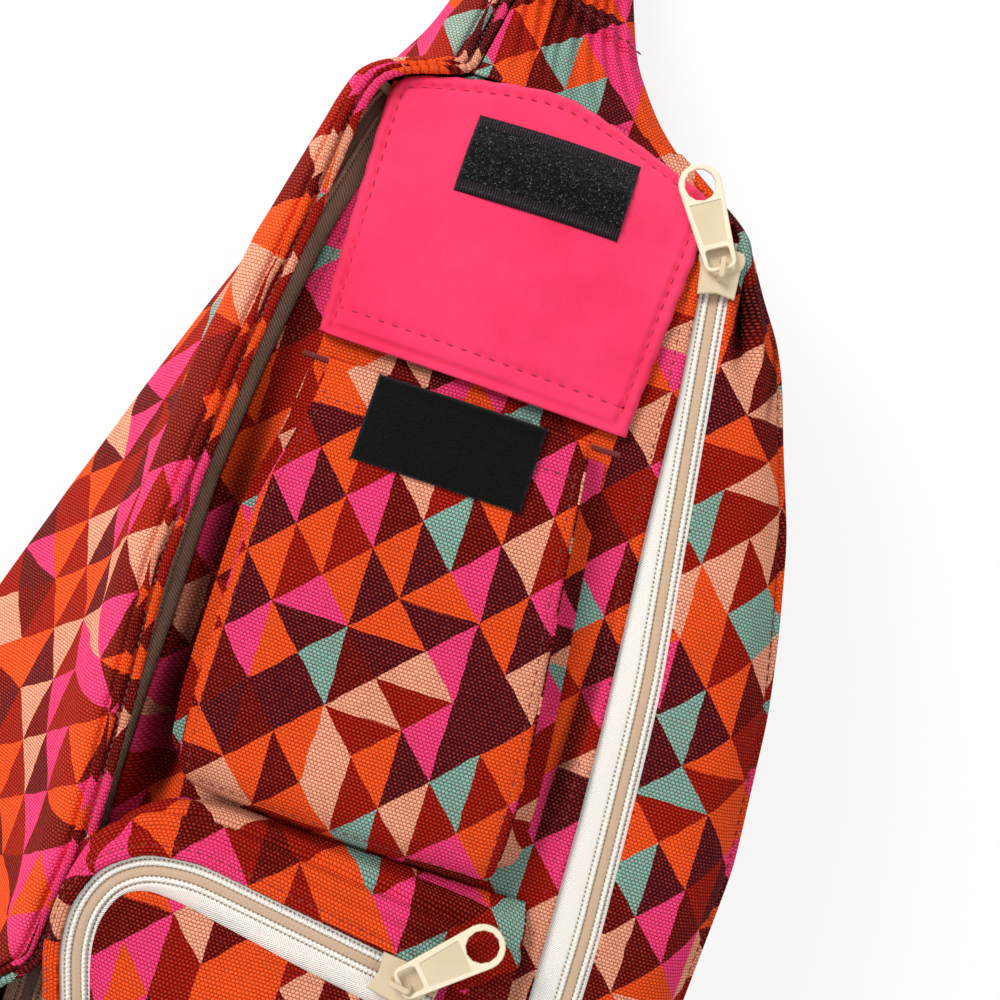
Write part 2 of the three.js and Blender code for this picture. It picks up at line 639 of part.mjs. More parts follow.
// Phone pocket
const pocketLeftX = line([[POCKET_LOW_Y, -44.5], [-92, -47.7], [-33, -48], [-7, -42.5], [POCKET_TOP_Y, -41.5]]);
const pocketRightX = line([[POCKET_LOW_Y, 50.7], [-89, 50.8], [-55, 46.9], [-32, 43.8], [POCKET_TOP_Y, 39]]);
const pocketDepth = line([
  [POCKET_LOW_Y, POCKET_DEPTH - 6], [POCKET_LOW_Y + 6, POCKET_DEPTH],
  [POCKET_TOP_Y - POCKET_SLOPE_LENGTH, POCKET_DEPTH], [POCKET_TOP_Y, POCKET_MOUTH + CLOTH],
]);
const pocketTopZ = (x, y) => frontZ(x, y) + pocketDepth(y);

function addPhonePocket() {
  const face = (u, v) => {
    const y = mix(POCKET_LOW_Y, POCKET_TOP_Y, v);
    return [mix(pocketLeftX(y), pocketRightX(y), u), y];
  };
  const underFace = (x, y) => pocketTopZ(x, y) - CLOTH;
  add("phone_pocket_front", layer(face, underFace, CLOTH, 6, 20), printed);

  // The pleated wall runs down one side, along the bottom and up the other side
  const foot = GAP + LINING / 2;
  const wallRow = (x, y, outX, outY, ease = 0) => {
    const out = BELLOWS_FOOT;
    const pleat = Math.min(PLEAT, pocketDepth(y) * 0.3);
    const low = frontZ(x + outX * out, y + outY * out) + foot;
    const top = pocketTopZ(x, y) - CLOTH - GAP - ease;
    return [
      vec(x + outX * out, y + outY * out, low),
      vec(x + outX * 1.5, y + outY * 1.5, low + 1.6),
      vec(x - outX * pleat, y - outY * pleat, mix(low, top, 0.55)),
      vec(x + outX * 0.5, y + outY * 0.5, top),
    ];
  };
  const rows = [];
  const steps = 9;
  for (let k = 0; k <= steps; k++) {
    const y = mix(POCKET_TOP_Y - 0.5, POCKET_LOW_Y + 7, k / steps);
    rows.push(wallRow(pocketLeftX(y), y, -1, 0));
  }
  for (let k = 0; k <= 4; k++)
    rows.push(wallRow(mix(pocketLeftX(POCKET_LOW_Y) + 6, pocketRightX(POCKET_LOW_Y) - 6, k / 4), POCKET_LOW_Y + 2, 0, -0.05, 1.4));
  for (let k = 0; k <= steps; k++) {
    const y = mix(POCKET_LOW_Y + 7, POCKET_TOP_Y - 0.5, k / steps);
    rows.push(wallRow(pocketRightX(y), y, 1, 0));
  }
  add("phone_pocket_gusset", shell(rows, LINING), printed);

  for (const [name, x] of [["left", pocketLeftX(POCKET_TOP_Y)], ["right", pocketRightX(POCKET_TOP_Y)]]) {
    const centre = x + (name === "left" ? -BELLOWS_FOOT + 1 : BELLOWS_FOOT - 1);
    const bar = (u, v) => [centre + (u - 0.5) * BARTACK[0], POCKET_TOP_Y + 3.5 + (v - 0.5) * BARTACK[1]];
    add("bartack_" + name, layer(bar, (a, b) => frontZ(a, b) + GAP, BARTACK[2], 3, 1), thread);
  }
}

// Flap and patches
const flapUnder = (x, y) => frontZ(x, y) + FLAP_LIFT;
const flapHalf = (y) => mix(FLAP_BASE_HALF, FLAP_TOP_HALF, (y - FLAP_BASE_Y) / (FLAP_CORNER_Y - FLAP_BASE_Y));

function flapPlan(inset) {
  return (u, v) => {
    const top = FLAP_CORNER_Y + FLAP_ARCH * (1 - Math.abs(2 * u - 1) ** FLAP_ROUND) - inset;
    const y = mix(FLAP_BASE_Y + inset, top, v);
    const x = (2 * u - 1) * (flapHalf(Math.min(y, FLAP_CORNER_Y)) - inset);
    return [x, y - mix(...FLAP_SKEW, v) * x];
  };
}

function patchPlan([x, y]) {
  return (u, v) => [x + (u - 0.5) * PATCH_LENGTH, y + (v - 0.5) * PATCH_WIDTH];
}

function addFlap() {
  const liningUnder = (x, y) => flapUnder(x, y) + FLAP_SHELL + GAP + 0.1;
  const hookUnder = (x, y) => liningUnder(x, y) + FLAP_LINING + 3 * GAP;
  add("flap_shell", layer(flapPlan(0.6), flapUnder, FLAP_SHELL, 10, 14), printed);
  add("flap_lining", layer(flapPlan(0), liningUnder, FLAP_LINING, 10, 14), pink);
  add("hook_patch", layer(patchPlan(HOOK_CENTRE), hookUnder, PATCH_THICK, 6, 4), black);
  add("loop_patch", layer(patchPlan([0, 0]), (x, y) => pocketTopZ(x, y) + GAP, PATCH_THICK, 6, 6), black);
}

// Lower pocket: a band outside its zip and a bulging front inside it
function addLowerPocket() {
  const path = lowZipPath();
  const start = path[0];
  const lead = vec(LOW_POCKET_RIGHT_X, start.y - 4, start.z - 3);
  const frames = framesAlong([lead, ...path]);
  const edge = coilEdge + EDGE_CLEARANCE;
  const feet = [
    [LOW_POCKET_RIGHT_X, -120], [46, -120.5], [8, -121], [-30, BAND_TOP_Y], [-46, -124], [-54.5, -135], [-57, -152],
    [-56.5, -170], [-49.5, -194], [-46.5, -221],
  ];
  const bandRows = frames.map((frame, k) => {
    const crest = offset(frame, edge, clothOverTape);
    const [fx, fy] = feet[k];
    const foot = vec(fx, fy, frontZ(fx, fy) + CLOTH + 2 * GAP);
    const level = offset(frame, edge + BAND_LEVEL, clothOverTape - 0.2);
    const shoulder = level.clone().lerp(foot, 0.3).addScaledVector(frame.side, BAND_BULGE).add(vec(0, 0, 1));
    const low = level.clone().lerp(foot, 0.7).addScaledVector(frame.side, 0.6 * BAND_BULGE);
    return [crest, level, shoulder, low, foot];
  });
  add("lower_pocket_band", shell(bandRows), printed);

  const sideX = LOW_POCKET_RIGHT_X + 1;
  const corner = [sideX, LOW_POCKET_LOW_Y];
  const farSide = [
    [sideX, -166], [sideX, -192], corner, [46, LOW_POCKET_LOW_Y], [26, LOW_POCKET_LOW_Y], [8, LOW_POCKET_LOW_Y],
    [-7, LOW_POCKET_LOW_Y],
    [-18, LOW_POCKET_LOW_Y], [-28, LOW_POCKET_LOW_Y], [-35, LOW_POCKET_LOW_Y],
  ];
  const frontRows = frames.map((frame, k) => {
    const near = offset(frame, -edge, clothOverTape);
    const [x, y] = farSide[k];
    const far = vec(x, y, frontZ(x, y) + CLOTH + 2 * GAP);
    const row = [];
    for (let i = 0; i <= 6; i++) {
      const w = i / 6;
      const point = near.clone().lerp(far, w);
      point.z = mix(near.z, far.z, w ** 3) + (k < 2 ? 0.3 : 0.9) * LOW_POCKET_BULGE * Math.sin(Math.PI * w) ** 2;
      row.push(point);
    }
    return row;
  });
  add("lower_pocket_front", shell(frontRows.map((row) => row.reverse())), printed);
}

// Strap, lying on the floor round the left of the bag
const strapStart = vec(-21, NECK_Y + GAP, 0);
const strapRoute = [
  [-21, NECK_Y + 10], [-26, NECK_Y + 36], [-50, NECK_Y + 68], [-92, NECK_Y + 84], [-136, NECK_Y + 80],
  [-176, NECK_Y + 56], [-206, NECK_Y + 18], [-225, 170], [-233, 128], [-231, 92], [-222, 62],
];
const strapEnd = vec(-222, 62, 0);
const webbingEnd = vec(-148, -200, 0);
const legWay = webbingEnd.clone().sub(strapEnd).normalize(); // from the strap down to the wing
const legSide = legWay.clone().cross(vec(0, 0, 1));
const FIXED_BAR = 12; // from the strap's end to the middle of the lock's fixed bar
const LOCK_CENTRE = FIXED_BAR + (LOCK_LENGTH - LOCK_BAR) / 2;

function addStrap() {
  const curve = new THREE.CatmullRomCurve3(strapRoute.map(([x, y]) => vec(x, y, 0)), false, "centripetal");
  const path = [strapStart, ...curve.getSpacedPoints(22)];
  const half = STRAP_WIDTH / 2;
  const seam = 4;
  const foamTop = STRAP_COVER + GAP + STRAP_FOAM;
  const backSection = [[-half, 0], [half, 0], [half, STRAP_COVER], [-half, STRAP_COVER]];
  const foamHalf = half - seam - 2;
  const foamLow = STRAP_COVER + GAP;
  const foamSection = [
    [-foamHalf, foamLow], [foamHalf, foamLow], [foamHalf, foamLow + 2.5], [foamHalf - 2.5, foamTop],
    [2.5 - foamHalf, foamTop], [-foamHalf, foamLow + 2.5],
  ];
  const under = foamTop + GAP;
  const low = STRAP_COVER + GAP;
  const inner = [[half, low], [half - seam, low], [foamHalf + 0.5, low + 2.7], [foamHalf - 2.3, under]];
  const outer = [
    [half, low + STRAP_COVER], [half - seam + 0.8, low + STRAP_COVER],
    [foamHalf + 2.1, low + 3.3], [foamHalf - 1.7, under + STRAP_COVER],
  ];
  const mirrored = (points) => points.map(([s, n]) => [-s, n]);
  const topSection = [
    ...mirrored(inner), ...[...inner].reverse(), ...outer, ...mirrored(outer).reverse(),
  ];
  add("strap_back_cover", sweep(path, backSection), printed);
  add("strap_foam", sweep(path, foamSection), foam);
  add("strap_top_cover", sweep(path, topSection), printed);
}

// A point beside the strap's end: so far along the webbing and so high
const legPoint = (along, z) => strapEnd.clone().addScaledVector(legWay, along).setZ(z);
const ribbon = [
  [-WEBBING_WIDTH / 2, -WEBBING / 2], [WEBBING_WIDTH / 2, -WEBBING / 2],
  [WEBBING_WIDTH / 2, WEBBING / 2], [-WEBBING_WIDTH / 2, WEBBING / 2],
];

function addLock() {
  const halfLength = LOCK_LENGTH / 2;
  const halfWidth = LOCK_WIDTH / 2;
  const corner = 2.5;
  const shape = new THREE.Shape([
    new THREE.Vector2(-halfLength + corner, -halfWidth),
    new THREE.Vector2(halfLength - corner, -halfWidth),
    new THREE.Vector2(halfLength, -halfWidth + corner),
    new THREE.Vector2(halfLength, halfWidth - corner),
    new THREE.Vector2(halfLength - corner, halfWidth),
    new THREE.Vector2(-halfLength + corner, halfWidth),
    new THREE.Vector2(-halfLength, halfWidth - corner),
    new THREE.Vector2(-halfLength, -halfWidth + corner),
  ]);
  const slotLength = halfLength - 1.5 * LOCK_BAR;
  let body = solid(bevelled(shape, LOCK_THICK, 0.5));
  for (const way of [-1, 1]) {
    const slot = new THREE.BoxGeometry(slotLength, LOCK_SLOT, 3 * LOCK_THICK);
    body = body.subtract(solid(slot.translate(way * (LOCK_BAR + slotLength) / 2, 0, 0)));
  }
  const lock = add("ladder_lock", geometryOf(body), plastic);
  lock.position.copy(legPoint(LOCK_CENTRE, LOCK_LIFT));
  lock.quaternion.setFromRotationMatrix(frameAlong(legWay, vec(0, 0, 1)));
}

function addWebbing() {
  const under = LOCK_LIFT - GAP - WEBBING / 2;
  const over = LOCK_LIFT + LOCK_THICK + GAP + WEBBING / 2;
  const loop = [
    [1.2, 5], [4, 4.4], [8, under], [FIXED_BAR, under - 0.3], [FIXED_BAR + 3, under + 0.6],
    [FIXED_BAR + 4, (under + over) / 2], [FIXED_BAR + 3, over - 0.6], [FIXED_BAR, over + 0.3],
    [8, over], [4, 8.8], [1.2, 8],
  ];
  add("strap_tab", sweep(loop.map(([t, z]) => legPoint(t, z)), ribbon, legSide), webbingCloth);

  const floorLeg = 0.1 + WEBBING / 2;
  const tail = floorLeg + WEBBING + GAP;
  const wingTop = WING_THICK + GAP + WEBBING / 2;
  const reach = webbingEnd.distanceTo(strapEnd) - LOCK_CENTRE;
  const route = [
    [reach, wingTop], [reach - 26, wingTop], [reach - 52, wingTop], [reach - 66, floorLeg], [140, floorLeg],
    [TAIL_LENGTH, floorLeg], [10, floorLeg], [0, floorLeg], [-3, floorLeg + 0.5], [-4.9, floorLeg + 2.4],
    [-5.2, 6.2], [-4.6, over - 0.8], [-2, over + 0.4], [2, over + 0.4], [4.6, over - 0.8], [5.2, 6.6],
    [5.8, 4.8], [7.6, tail + 0.3], [10, tail], [LOCK_LENGTH / 2, tail], [TAIL_LENGTH, tail],
  ];
  add("webbing", sweep(route.map(([t, z]) => legPoint(LOCK_CENTRE + t, z)), ribbon, legSide), webbingCloth);
}

// The wing is sewn into the lower left of the bag and carries the webbing's end
function addWing() {
  const outer = line([[-154, -147], [-186, -170], [-212, -163], [-223, -116]]);
  const plan = (u, v) => {
    const y = mix(-154, -223, v);
    return [mix(outer(y), leftOutline(y) - 2 * GAP, u), y];
  };
  add("strap_wing", layer(plan, () => 0, WING_THICK, 2, 8), printed);
}

addBack();
addBody();
addDivider();
addZips();
addPhonePocket();
addFlap();
addLowerPocket();
addStrap();
addLock();
addWebbing();
addWing();

// The origin goes to the middle of the underside of the whole part
const bounds = new THREE.Box3().setFromObject(bag);
const middle = bounds.getCenter(vec(0, 0, 0));
bag.position.set(-middle.x, -middle.y, -bounds.min.z);

export default bag;
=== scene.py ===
# Sling backpack: cloth, zips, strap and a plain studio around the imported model
import math

import bpy
import numpy as np
from mathutils import Matrix, Vector


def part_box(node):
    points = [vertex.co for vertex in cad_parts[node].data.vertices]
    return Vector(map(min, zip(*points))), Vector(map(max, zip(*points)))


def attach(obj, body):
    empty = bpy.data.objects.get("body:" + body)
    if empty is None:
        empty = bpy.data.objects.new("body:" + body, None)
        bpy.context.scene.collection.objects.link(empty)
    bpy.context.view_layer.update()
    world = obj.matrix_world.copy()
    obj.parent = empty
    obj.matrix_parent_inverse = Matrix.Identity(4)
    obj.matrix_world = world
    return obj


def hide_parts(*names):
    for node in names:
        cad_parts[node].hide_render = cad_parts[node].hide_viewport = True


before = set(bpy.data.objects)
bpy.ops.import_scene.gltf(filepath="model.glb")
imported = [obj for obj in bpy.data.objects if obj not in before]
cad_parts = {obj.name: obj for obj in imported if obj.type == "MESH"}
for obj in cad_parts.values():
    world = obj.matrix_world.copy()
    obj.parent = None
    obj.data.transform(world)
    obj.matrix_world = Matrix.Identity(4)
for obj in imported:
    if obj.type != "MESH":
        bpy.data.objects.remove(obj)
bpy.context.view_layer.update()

scene = bpy.context.scene
print("frame loaded:", len(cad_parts), "nodes")

# Drawing coordinates are millimetres from the middle of the loop patch, as the bag's pattern was drawn.
lowPatch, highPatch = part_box("loop_patch")
origin = np.array([(lowPatch.x + highPatch.x) / 2, (lowPatch.y + highPatch.y) / 2, 0.0])
fineStep = 0.5  # mm between the points of a line while it is smoothed


def toScene(points):
    return np.asarray(points, float) / 1000 + origin


def lineOf(stations, soft=10):
    # straight lines between given stations [y, value], with their corners eased over `soft` mm
    at, value = np.array(sorted(stations), float).T
    t = np.arange(at[0] - 3 * soft, at[-1] + 3 * soft + 1, 1.0)
    first = (value[1] - value[0]) / (at[1] - at[0])
    last = (value[-1] - value[-2]) / (at[-1] - at[-2])
    v = np.interp(t, at, value) + first * np.minimum(t - at[0], 0) + last * np.maximum(t - at[-1], 0)
    n = int(soft) | 1
    for _ in range(2):
        v = np.convolve(np.pad(v, n // 2, mode="edge"), np.ones(n) / n, "valid")
    return lambda y: np.interp(np.clip(y, at[0], at[-1]), t, v)


def mix(a, b, t):
    return a + (b - a) * t


def ease(t):
    t = np.clip(t, 0, 1)
    return t * t * (3 - 2 * t)


def bump(t, centre, width):
    return np.exp(-(((t - centre) / width) ** 2))


def ridges(d, *shapes):
    # ridges and valleys beside a line: the height, the distance and the half width of each
    return sum(height * bump(d, at, width) for height, at, width in shapes)


def softNoise(x, y, seed=0):
    # smooth field between -1 and 1, the same on every run
    x, y = np.broadcast_arrays(np.asarray(x, float), np.asarray(y, float))
    xi, yi = np.floor(x).astype(np.int64), np.floor(y).astype(np.int64)
    fx, fy = ease(x - xi), ease(y - yi)

    def corner(i, j):
        h = (i * 374761393 + j * 668265263 + seed * 97463) & 0xFFFFFFFF
        h = ((h ^ (h >> 13)) * 1274126177) & 0xFFFFFFFF
        return ((h ^ (h >> 16)) & 0xFFFF) / 32767.5 - 1

    low = mix(corner(xi, yi), corner(xi + 1, yi), fx)
    high = mix(corner(xi, yi + 1), corner(xi + 1, yi + 1), fx)
    return mix(low, high, fy)


def folds(x, y, size, seed=0):
    return (softNoise(x / size, y / size, seed) + 0.5 * softNoise(x / size * 2.1, y / size * 2.1, seed + 7)) / 1.5


def splineAt(points, t):
    # smooth curve through points (first axis), at places t from 0 to count - 1
    p = np.asarray(points, float)
    t = np.clip(np.asarray(t, float), 0, len(p) - 1)
    k = np.clip(np.floor(t).astype(int), 0, len(p) - 2)
    s = (t - k).reshape((-1,) + (1,) * (p.ndim - 1))
    a, b = p[np.maximum(k - 1, 0)], p[k]
    c, d = p[k + 1], p[np.minimum(k + 2, len(p) - 1)]
    return 0.5 * (2 * b + (c - a) * s + (2 * a - 5 * b + 4 * c - d) * s**2 + (3 * b - a - 3 * c + d) * s**3)


def arcLength(points):
    steps = np.linalg.norm(np.diff(points, axis=0), axis=-1)
    return np.concatenate([np.zeros((1,) + steps.shape[1:]), np.cumsum(steps, axis=0)])


def onLine(line, s, at):
    return np.stack([np.interp(at, s, line[:, k]) for k in range(3)], -1)


def evenly(points, step):
    # the same line again, with its points a fixed step apart
    points = np.asarray(points, float)
    s = arcLength(points)
    return onLine(points, s, np.linspace(0, s[-1], max(2, int(round(s[-1] / step)) + 1)))


def smooth(dense, soft):
    # corners eased over `soft` mm along the first axis; the ends stay in place
    n = int(soft / fineStep) | 1
    for _ in range(2):
        wide = np.concatenate([2 * dense[0] - dense[n // 2:0:-1], dense, 2 * dense[-1] - dense[-2:-n // 2 - 1:-1]])
        total = np.cumsum(np.concatenate([np.zeros((1,) + wide.shape[1:]), wide]), axis=0)
        dense = (total[n:] - total[:-n]) / n
    return dense


def roundLine(points, step=1.5, soft=9):
    return evenly(smooth(evenly(points, fineStep), soft), step)


def refine(grid, rows, cols, soft):
    # a coarse grid made finer: even rows along its first column with eased turns, a smooth curve across
    grid = np.asarray(grid, float)
    s = arcLength(grid[:, 0])
    at = np.linspace(0, s[-1], int(s[-1] / fineStep) + 1)
    dense = smooth(np.stack([onLine(grid[:, j], s, at) for j in range(grid.shape[1])], 1), soft)
    rowsAt = np.linspace(0, len(dense) - 1, rows)
    low = np.minimum(rowsAt.astype(int), len(dense) - 2)
    across = np.swapaxes(mix(dense[low], dense[low + 1], (rowsAt - low)[:, None, None]), 0, 1)
    return np.swapaxes(splineAt(across, np.linspace(0, len(across) - 1, cols)), 0, 1)


def spread(grid, start=0):
    # distance across each row from the column `start`, in mm
    s = arcLength(np.swapaxes(grid, 0, 1)).T
    return s - s[:, start, None]


def lineAt(away, distance, grid):
    # the line over a grid's rows where a distance that grows along each row reaches `away`
    return np.array([onLine(row, reach, away) for reach, row in zip(distance, grid)])


def gridOf(cols, rows, first=0.0, last=1.0):
    return np.meshgrid(np.linspace(0, 1, cols), np.linspace(first, last, rows))


def roundCorner(x, y, fromSide, fromEnd, radius, xWay, yWay):
    # the square corner of a grid drawn in to an arc
    a, b = radius - fromSide, radius - fromEnd
    inside = (a > 0) & (b > 0)
    pull = np.where(inside, np.maximum(a, b) / np.maximum(np.hypot(a, b), 1e-6), 1.0)
    return np.where(inside, x + xWay * (a * pull - a), x), np.where(inside, y + yWay * (b * pull - b), y)


def unit(v):
    return v / np.maximum(np.linalg.norm(v, axis=-1, keepdims=True), 1e-9)


def normalsOf(grid, hint):
    n = unit(np.cross(np.gradient(grid, axis=1), np.gradient(grid, axis=0)))
    return n if np.mean(n @ np.asarray(hint, float)) > 0 else -n


def raised(grid, lift, hint=(0, 0, 1)):
    # the grid moved out along its normals
    return grid + normalsOf(grid, hint) * lift[..., None]


def sheetOf(x, y, z):
    return np.stack(np.broadcast_arrays(x, y, z), -1)


def addObject(name, verts, faces, uv, material, replaces=()):
    name = name.replace(" ", "_")
    mesh = bpy.data.meshes.new(name)
    mesh.from_pydata([tuple(p) for p in toScene(verts)], [], [tuple(f) for f in faces])
    if uv is not None:
        layer = mesh.uv_layers.new(name="cloth")
        loops = np.zeros(len(mesh.loops), np.int32)
        mesh.loops.foreach_get("vertex_index", loops)
        layer.data.foreach_set("uv", (uv[loops] / 1000).astype(np.float32).ravel())
    mesh.materials.append(material)
    mesh.polygons.foreach_set("use_smooth", np.ones(len(mesh.polygons), bool))
    mesh.validate()
    mesh.update()
    piece = bpy.data.objects.new(name, mesh)
    scene.collection.objects.link(piece)
    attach(piece, "bag")
    if replaces:
        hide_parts(*replaces)
    return piece


def addCloth(name, grid, thick, material, replaces=(), uv=None, hint=(0, 0, 1)):
    # a closed cloth piece: grid is its outside, (rows, columns, 3), with folded, rounded edges
    rows, cols = grid.shape[:2]
    size = rows * cols
    n = normalsOf(grid, hint)
    index = np.arange(size).reshape(rows, cols)
    ring = np.concatenate([index[0, :-1], index[:-1, -1], index[-1, :0:-1], index[:0:-1, 0]])
    outward = np.zeros_like(grid)
    outward[0] += grid[0] - grid[1]
    outward[-1] += grid[-1] - grid[-2]
    outward[:, 0] += grid[:, 0] - grid[:, 1]
    outward[:, -1] += grid[:, -1] - grid[:, -2]
    flat, inner, out = (part.reshape(-1, 3) for part in (grid, grid - n * thick, unit(outward)))
    edge = (flat[ring] + inner[ring]) / 2 + out[ring] * 0.4 * thick
    drawn = (grid[..., :2] if uv is None else np.stack(np.broadcast_arrays(*uv), -1)).reshape(-1, 2)
    top = np.stack([index[:-1, :-1], index[:-1, 1:], index[1:, 1:], index[1:, :-1]], -1).reshape(-1, 4)
    back = [0, 3, 2, 1]
    low = top[:, back] + size
    after, mid = np.roll(ring, -1), 2 * size + np.arange(len(ring))
    midAfter = np.roll(mid, -1)
    rims = [np.stack([ring, mid, midAfter, after], -1), np.stack([mid, ring + size, after + size, midAfter], -1)]
    if np.cross(grid[0, 1] - grid[0, 0], grid[1, 0] - grid[0, 0]) @ n[0, 0] <= 0:
        top, low, rims = top[:, back], low[:, back], [rim[:, ::-1] for rim in rims]
    return addObject(name, np.concatenate([flat, inner, edge]), np.concatenate([top, low] + rims),
                     np.concatenate([drawn, drawn, drawn[ring]]), material, replaces)


def frameAlong(path, side=None):
    # side and up at each point of a line; a ribbon keeps one side
    travel = unit(np.gradient(path, axis=0))
    if side is None:
        side = unit(np.cross(travel, [0.0, 0.0, 1.0]))
    else:
        side = np.tile(np.asarray(side, float), (len(path), 1))
    return side, unit(np.cross(side, travel))


def shifted(path, sideways, up):
    side, rise = frameAlong(path)
    return path + side * sideways + rise * up


def tubeFaces(rows, cols, base=0):
    # the wall and the two ends of a tube whose rings are numbered one after another
    faces = []
    for a in range(base, base + (rows - 1) * cols):
        b = a + 1 if (a + 1 - base) % cols else a + 1 - cols
        faces.append((a, b, b + cols, a + cols))
    last = base + (rows - 1) * cols
    return faces + [tuple(range(base + cols - 1, base - 1, -1)), tuple(range(last, last + cols))]


def addSweep(name, path, section, material, replaces=(), side=None):
    # a closed section, [side, up] pairs, carried along a line, with closed ends
    path, section = np.asarray(path, float), np.asarray(section, float)
    sideWay, upWay = frameAlong(path, side)
    rings = path[:, None] + sideWay[:, None] * section[None, :, :1] + upWay[:, None] * section[None, :, 1:]
    uv = np.stack(np.meshgrid(arcLength(section), arcLength(path)), -1)
    faces = tubeFaces(*rings.shape[:2])
    if np.sum(section[:, 0] * np.roll(section[:, 1], -1) - np.roll(section[:, 0], -1) * section[:, 1]) < 0:
        faces = [f[::-1] for f in faces]
    return addObject(name, rings.reshape(-1, 3), faces, uv.reshape(-1, 2), material, replaces)


# each ring of a stitch: its place along the thread, its width and its rise
fineStitch = [(-0.5, 0.35, -0.28), (-0.3, 0.95, 0.02), (0.0, 1.1, 0.1), (0.3, 0.95, 0.02), (0.5, 0.35, -0.28)]
plainStitch = [(-0.5, 0.5, -0.15), (0.0, 1.1, 0.05), (0.5, 0.5, -0.15)]


def addStitches(name, line, material, pitch=3.2, length=2.2, radius=0.2, lift=-0.02, normal=(0, 0, 1), fine=True):
    # a row of sewn stitches: short, slightly sunk threads along a line
    line = np.asarray(line, float)
    shape, sides = (fineStitch, 6) if fine else (plainStitch, 5)
    place, width, rise = np.array(shape).T
    s = arcLength(line)
    count = int(s[-1] / pitch)
    at = (np.arange(count)[:, None] + 0.5) * pitch + place * length
    up = unit(np.array(normal, float))
    across = unit(np.cross(unit(onLine(line, s, at + 0.3) - onLine(line, s, at - 0.3)), up))
    middle = onLine(line, s, at) + up * (lift + rise)[:, None]
    turn = np.arange(sides)[:, None] * 2 * math.pi / sides
    around = across[:, :, None] * np.cos(turn) + up * np.sin(turn)
    verts = middle[:, :, None] + around * (radius * width)[:, None, None]
    faces = [f for k in range(count) for f in tubeFaces(len(shape), sides, k * len(shape) * sides)]
    addObject(name, verts.reshape(-1, 3), faces, None, material)


def addRope(name, line, radius, pitch, material, drift, sides=12):
    # a rolled edge of cloth, pulled in on a slant by the thread that binds it
    side, up = frameAlong(line)
    s = arcLength(line)
    turn = np.linspace(0, 2 * math.pi, sides, endpoint=False)
    pull = np.abs(np.sin(math.pi * (s[:, None] + drift + radius * 0.8 * np.cos(turn)) / pitch)) ** 0.6
    size = radius * (0.74 + 0.26 * pull) * (1 + 0.1 * softNoise(s / 7, s * 0 + drift, 19))[:, None]
    size = size * np.minimum(1, np.minimum(s, s[-1] - s) / 6 + 0.15)[:, None]
    around = side[:, None] * np.cos(turn)[:, None] + up[:, None] * np.sin(turn)[:, None] * 0.85
    rings = line[:, None] + around * size[..., None]
    faces = [f[:1] + f[:0:-1] if len(f) == 4 else f[::-1] for f in tubeFaces(len(line), sides)]
    uv = np.stack(np.broadcast_arrays(line[:, :1] - radius * np.cos(turn) * 1.1, line[:, 1:2]), -1)
    addObject(name, rings.reshape(-1, 3), faces, uv.reshape(-1, 2), material)


class Wire:
    # a value inside a node tree; arithmetic on it makes Math nodes
    def __init__(self, tree, socket):
        self.tree, self.socket = tree, socket

    def math(self, operation, *others, clamp=False):
        return calc(self.tree, operation, self, *others, clamp=clamp)

    def __add__(self, other):
        return self.math("ADD", other)

    def __sub__(self, other):
        return self.math("SUBTRACT", other)

    def __rsub__(self, other):
        return calc(self.tree, "SUBTRACT", other, self)

    def __mul__(self, other):
        return self.math("MULTIPLY", other)

    def __truediv__(self, other):
        return self.math("DIVIDE", other)

    def __pow__(self, other):
        return self.math("POWER", other)

    def __abs__(self):
        return self.math("ABSOLUTE")


def plug(socket, value):
    # a number or colour goes on the socket, a wire is linked to it
    if isinstance(value, Wire):
        value.tree.links.new(value.socket, socket)
    else:
        socket.default_value = value


def addNode(tree, kind, inputs, output=0, **settings):
    made = tree.nodes.new("ShaderNode" + kind)
    for label, value in settings.items():
        setattr(made, label, value)
    for label, value in inputs.items():
        plug(made.inputs[label], value)
    return Wire(tree, made.outputs[output])


def calc(tree, operation, *values, clamp=False):
    return addNode(tree, "Math", dict(enumerate(values)), operation=operation, use_clamp=clamp)


def pair(tree, x, y, z=0.0):
    return addNode(tree, "CombineXYZ", {0: x, 1: y, 2: z})


def split(vector):
    parts = vector.tree.nodes.new("ShaderNodeSeparateXYZ")
    plug(parts.inputs[0], vector)
    return [Wire(vector.tree, socket) for socket in parts.outputs]


def noise(vector, scale, detail=2.0, rough=0.5, output="Fac"):
    inputs = {"Vector": vector, "Scale": scale, "Detail": detail, "Roughness": rough}
    return addNode(vector.tree, "TexNoise", inputs, output)


def chance(vector):
    return addNode(vector.tree, "TexWhiteNoise", {"Vector": vector}, "Value")


def blendColour(tree, factor, a, b, way="MIX"):
    return addNode(tree, "Mix", {0: factor, 6: a, 7: b}, 2, data_type="RGBA", blend_type=way)


def colour(hexCode):
    # a colour as it is seen, turned into the renderer's linear one
    parts = [int(hexCode[k:k + 2], 16) / 255 for k in (1, 3, 5)]
    return tuple(c / 12.92 if c <= 0.04045 else ((c + 0.055) / 1.055) ** 2.4 for c in parts) + (1.0,)


def newGroup(name, inputs, outputs):
    # an input without a starting value is a vector
    tree = bpy.data.node_groups.new(name, "ShaderNodeTree")
    for label, value in inputs.items():
        kind = "NodeSocketVector" if value is None else "NodeSocketFloat"
        socket = tree.interface.new_socket(name=label, in_out="INPUT", socket_type=kind)
        if value is not None:
            socket.default_value = value
    for label, kind in outputs.items():
        tree.interface.new_socket(name=label, in_out="OUTPUT", socket_type="NodeSocket" + kind)
    start, end = tree.nodes.new("NodeGroupInput"), tree.nodes.new("NodeGroupOutput")
    return tree, {label: Wire(tree, start.outputs[label]) for label in inputs}, end.inputs


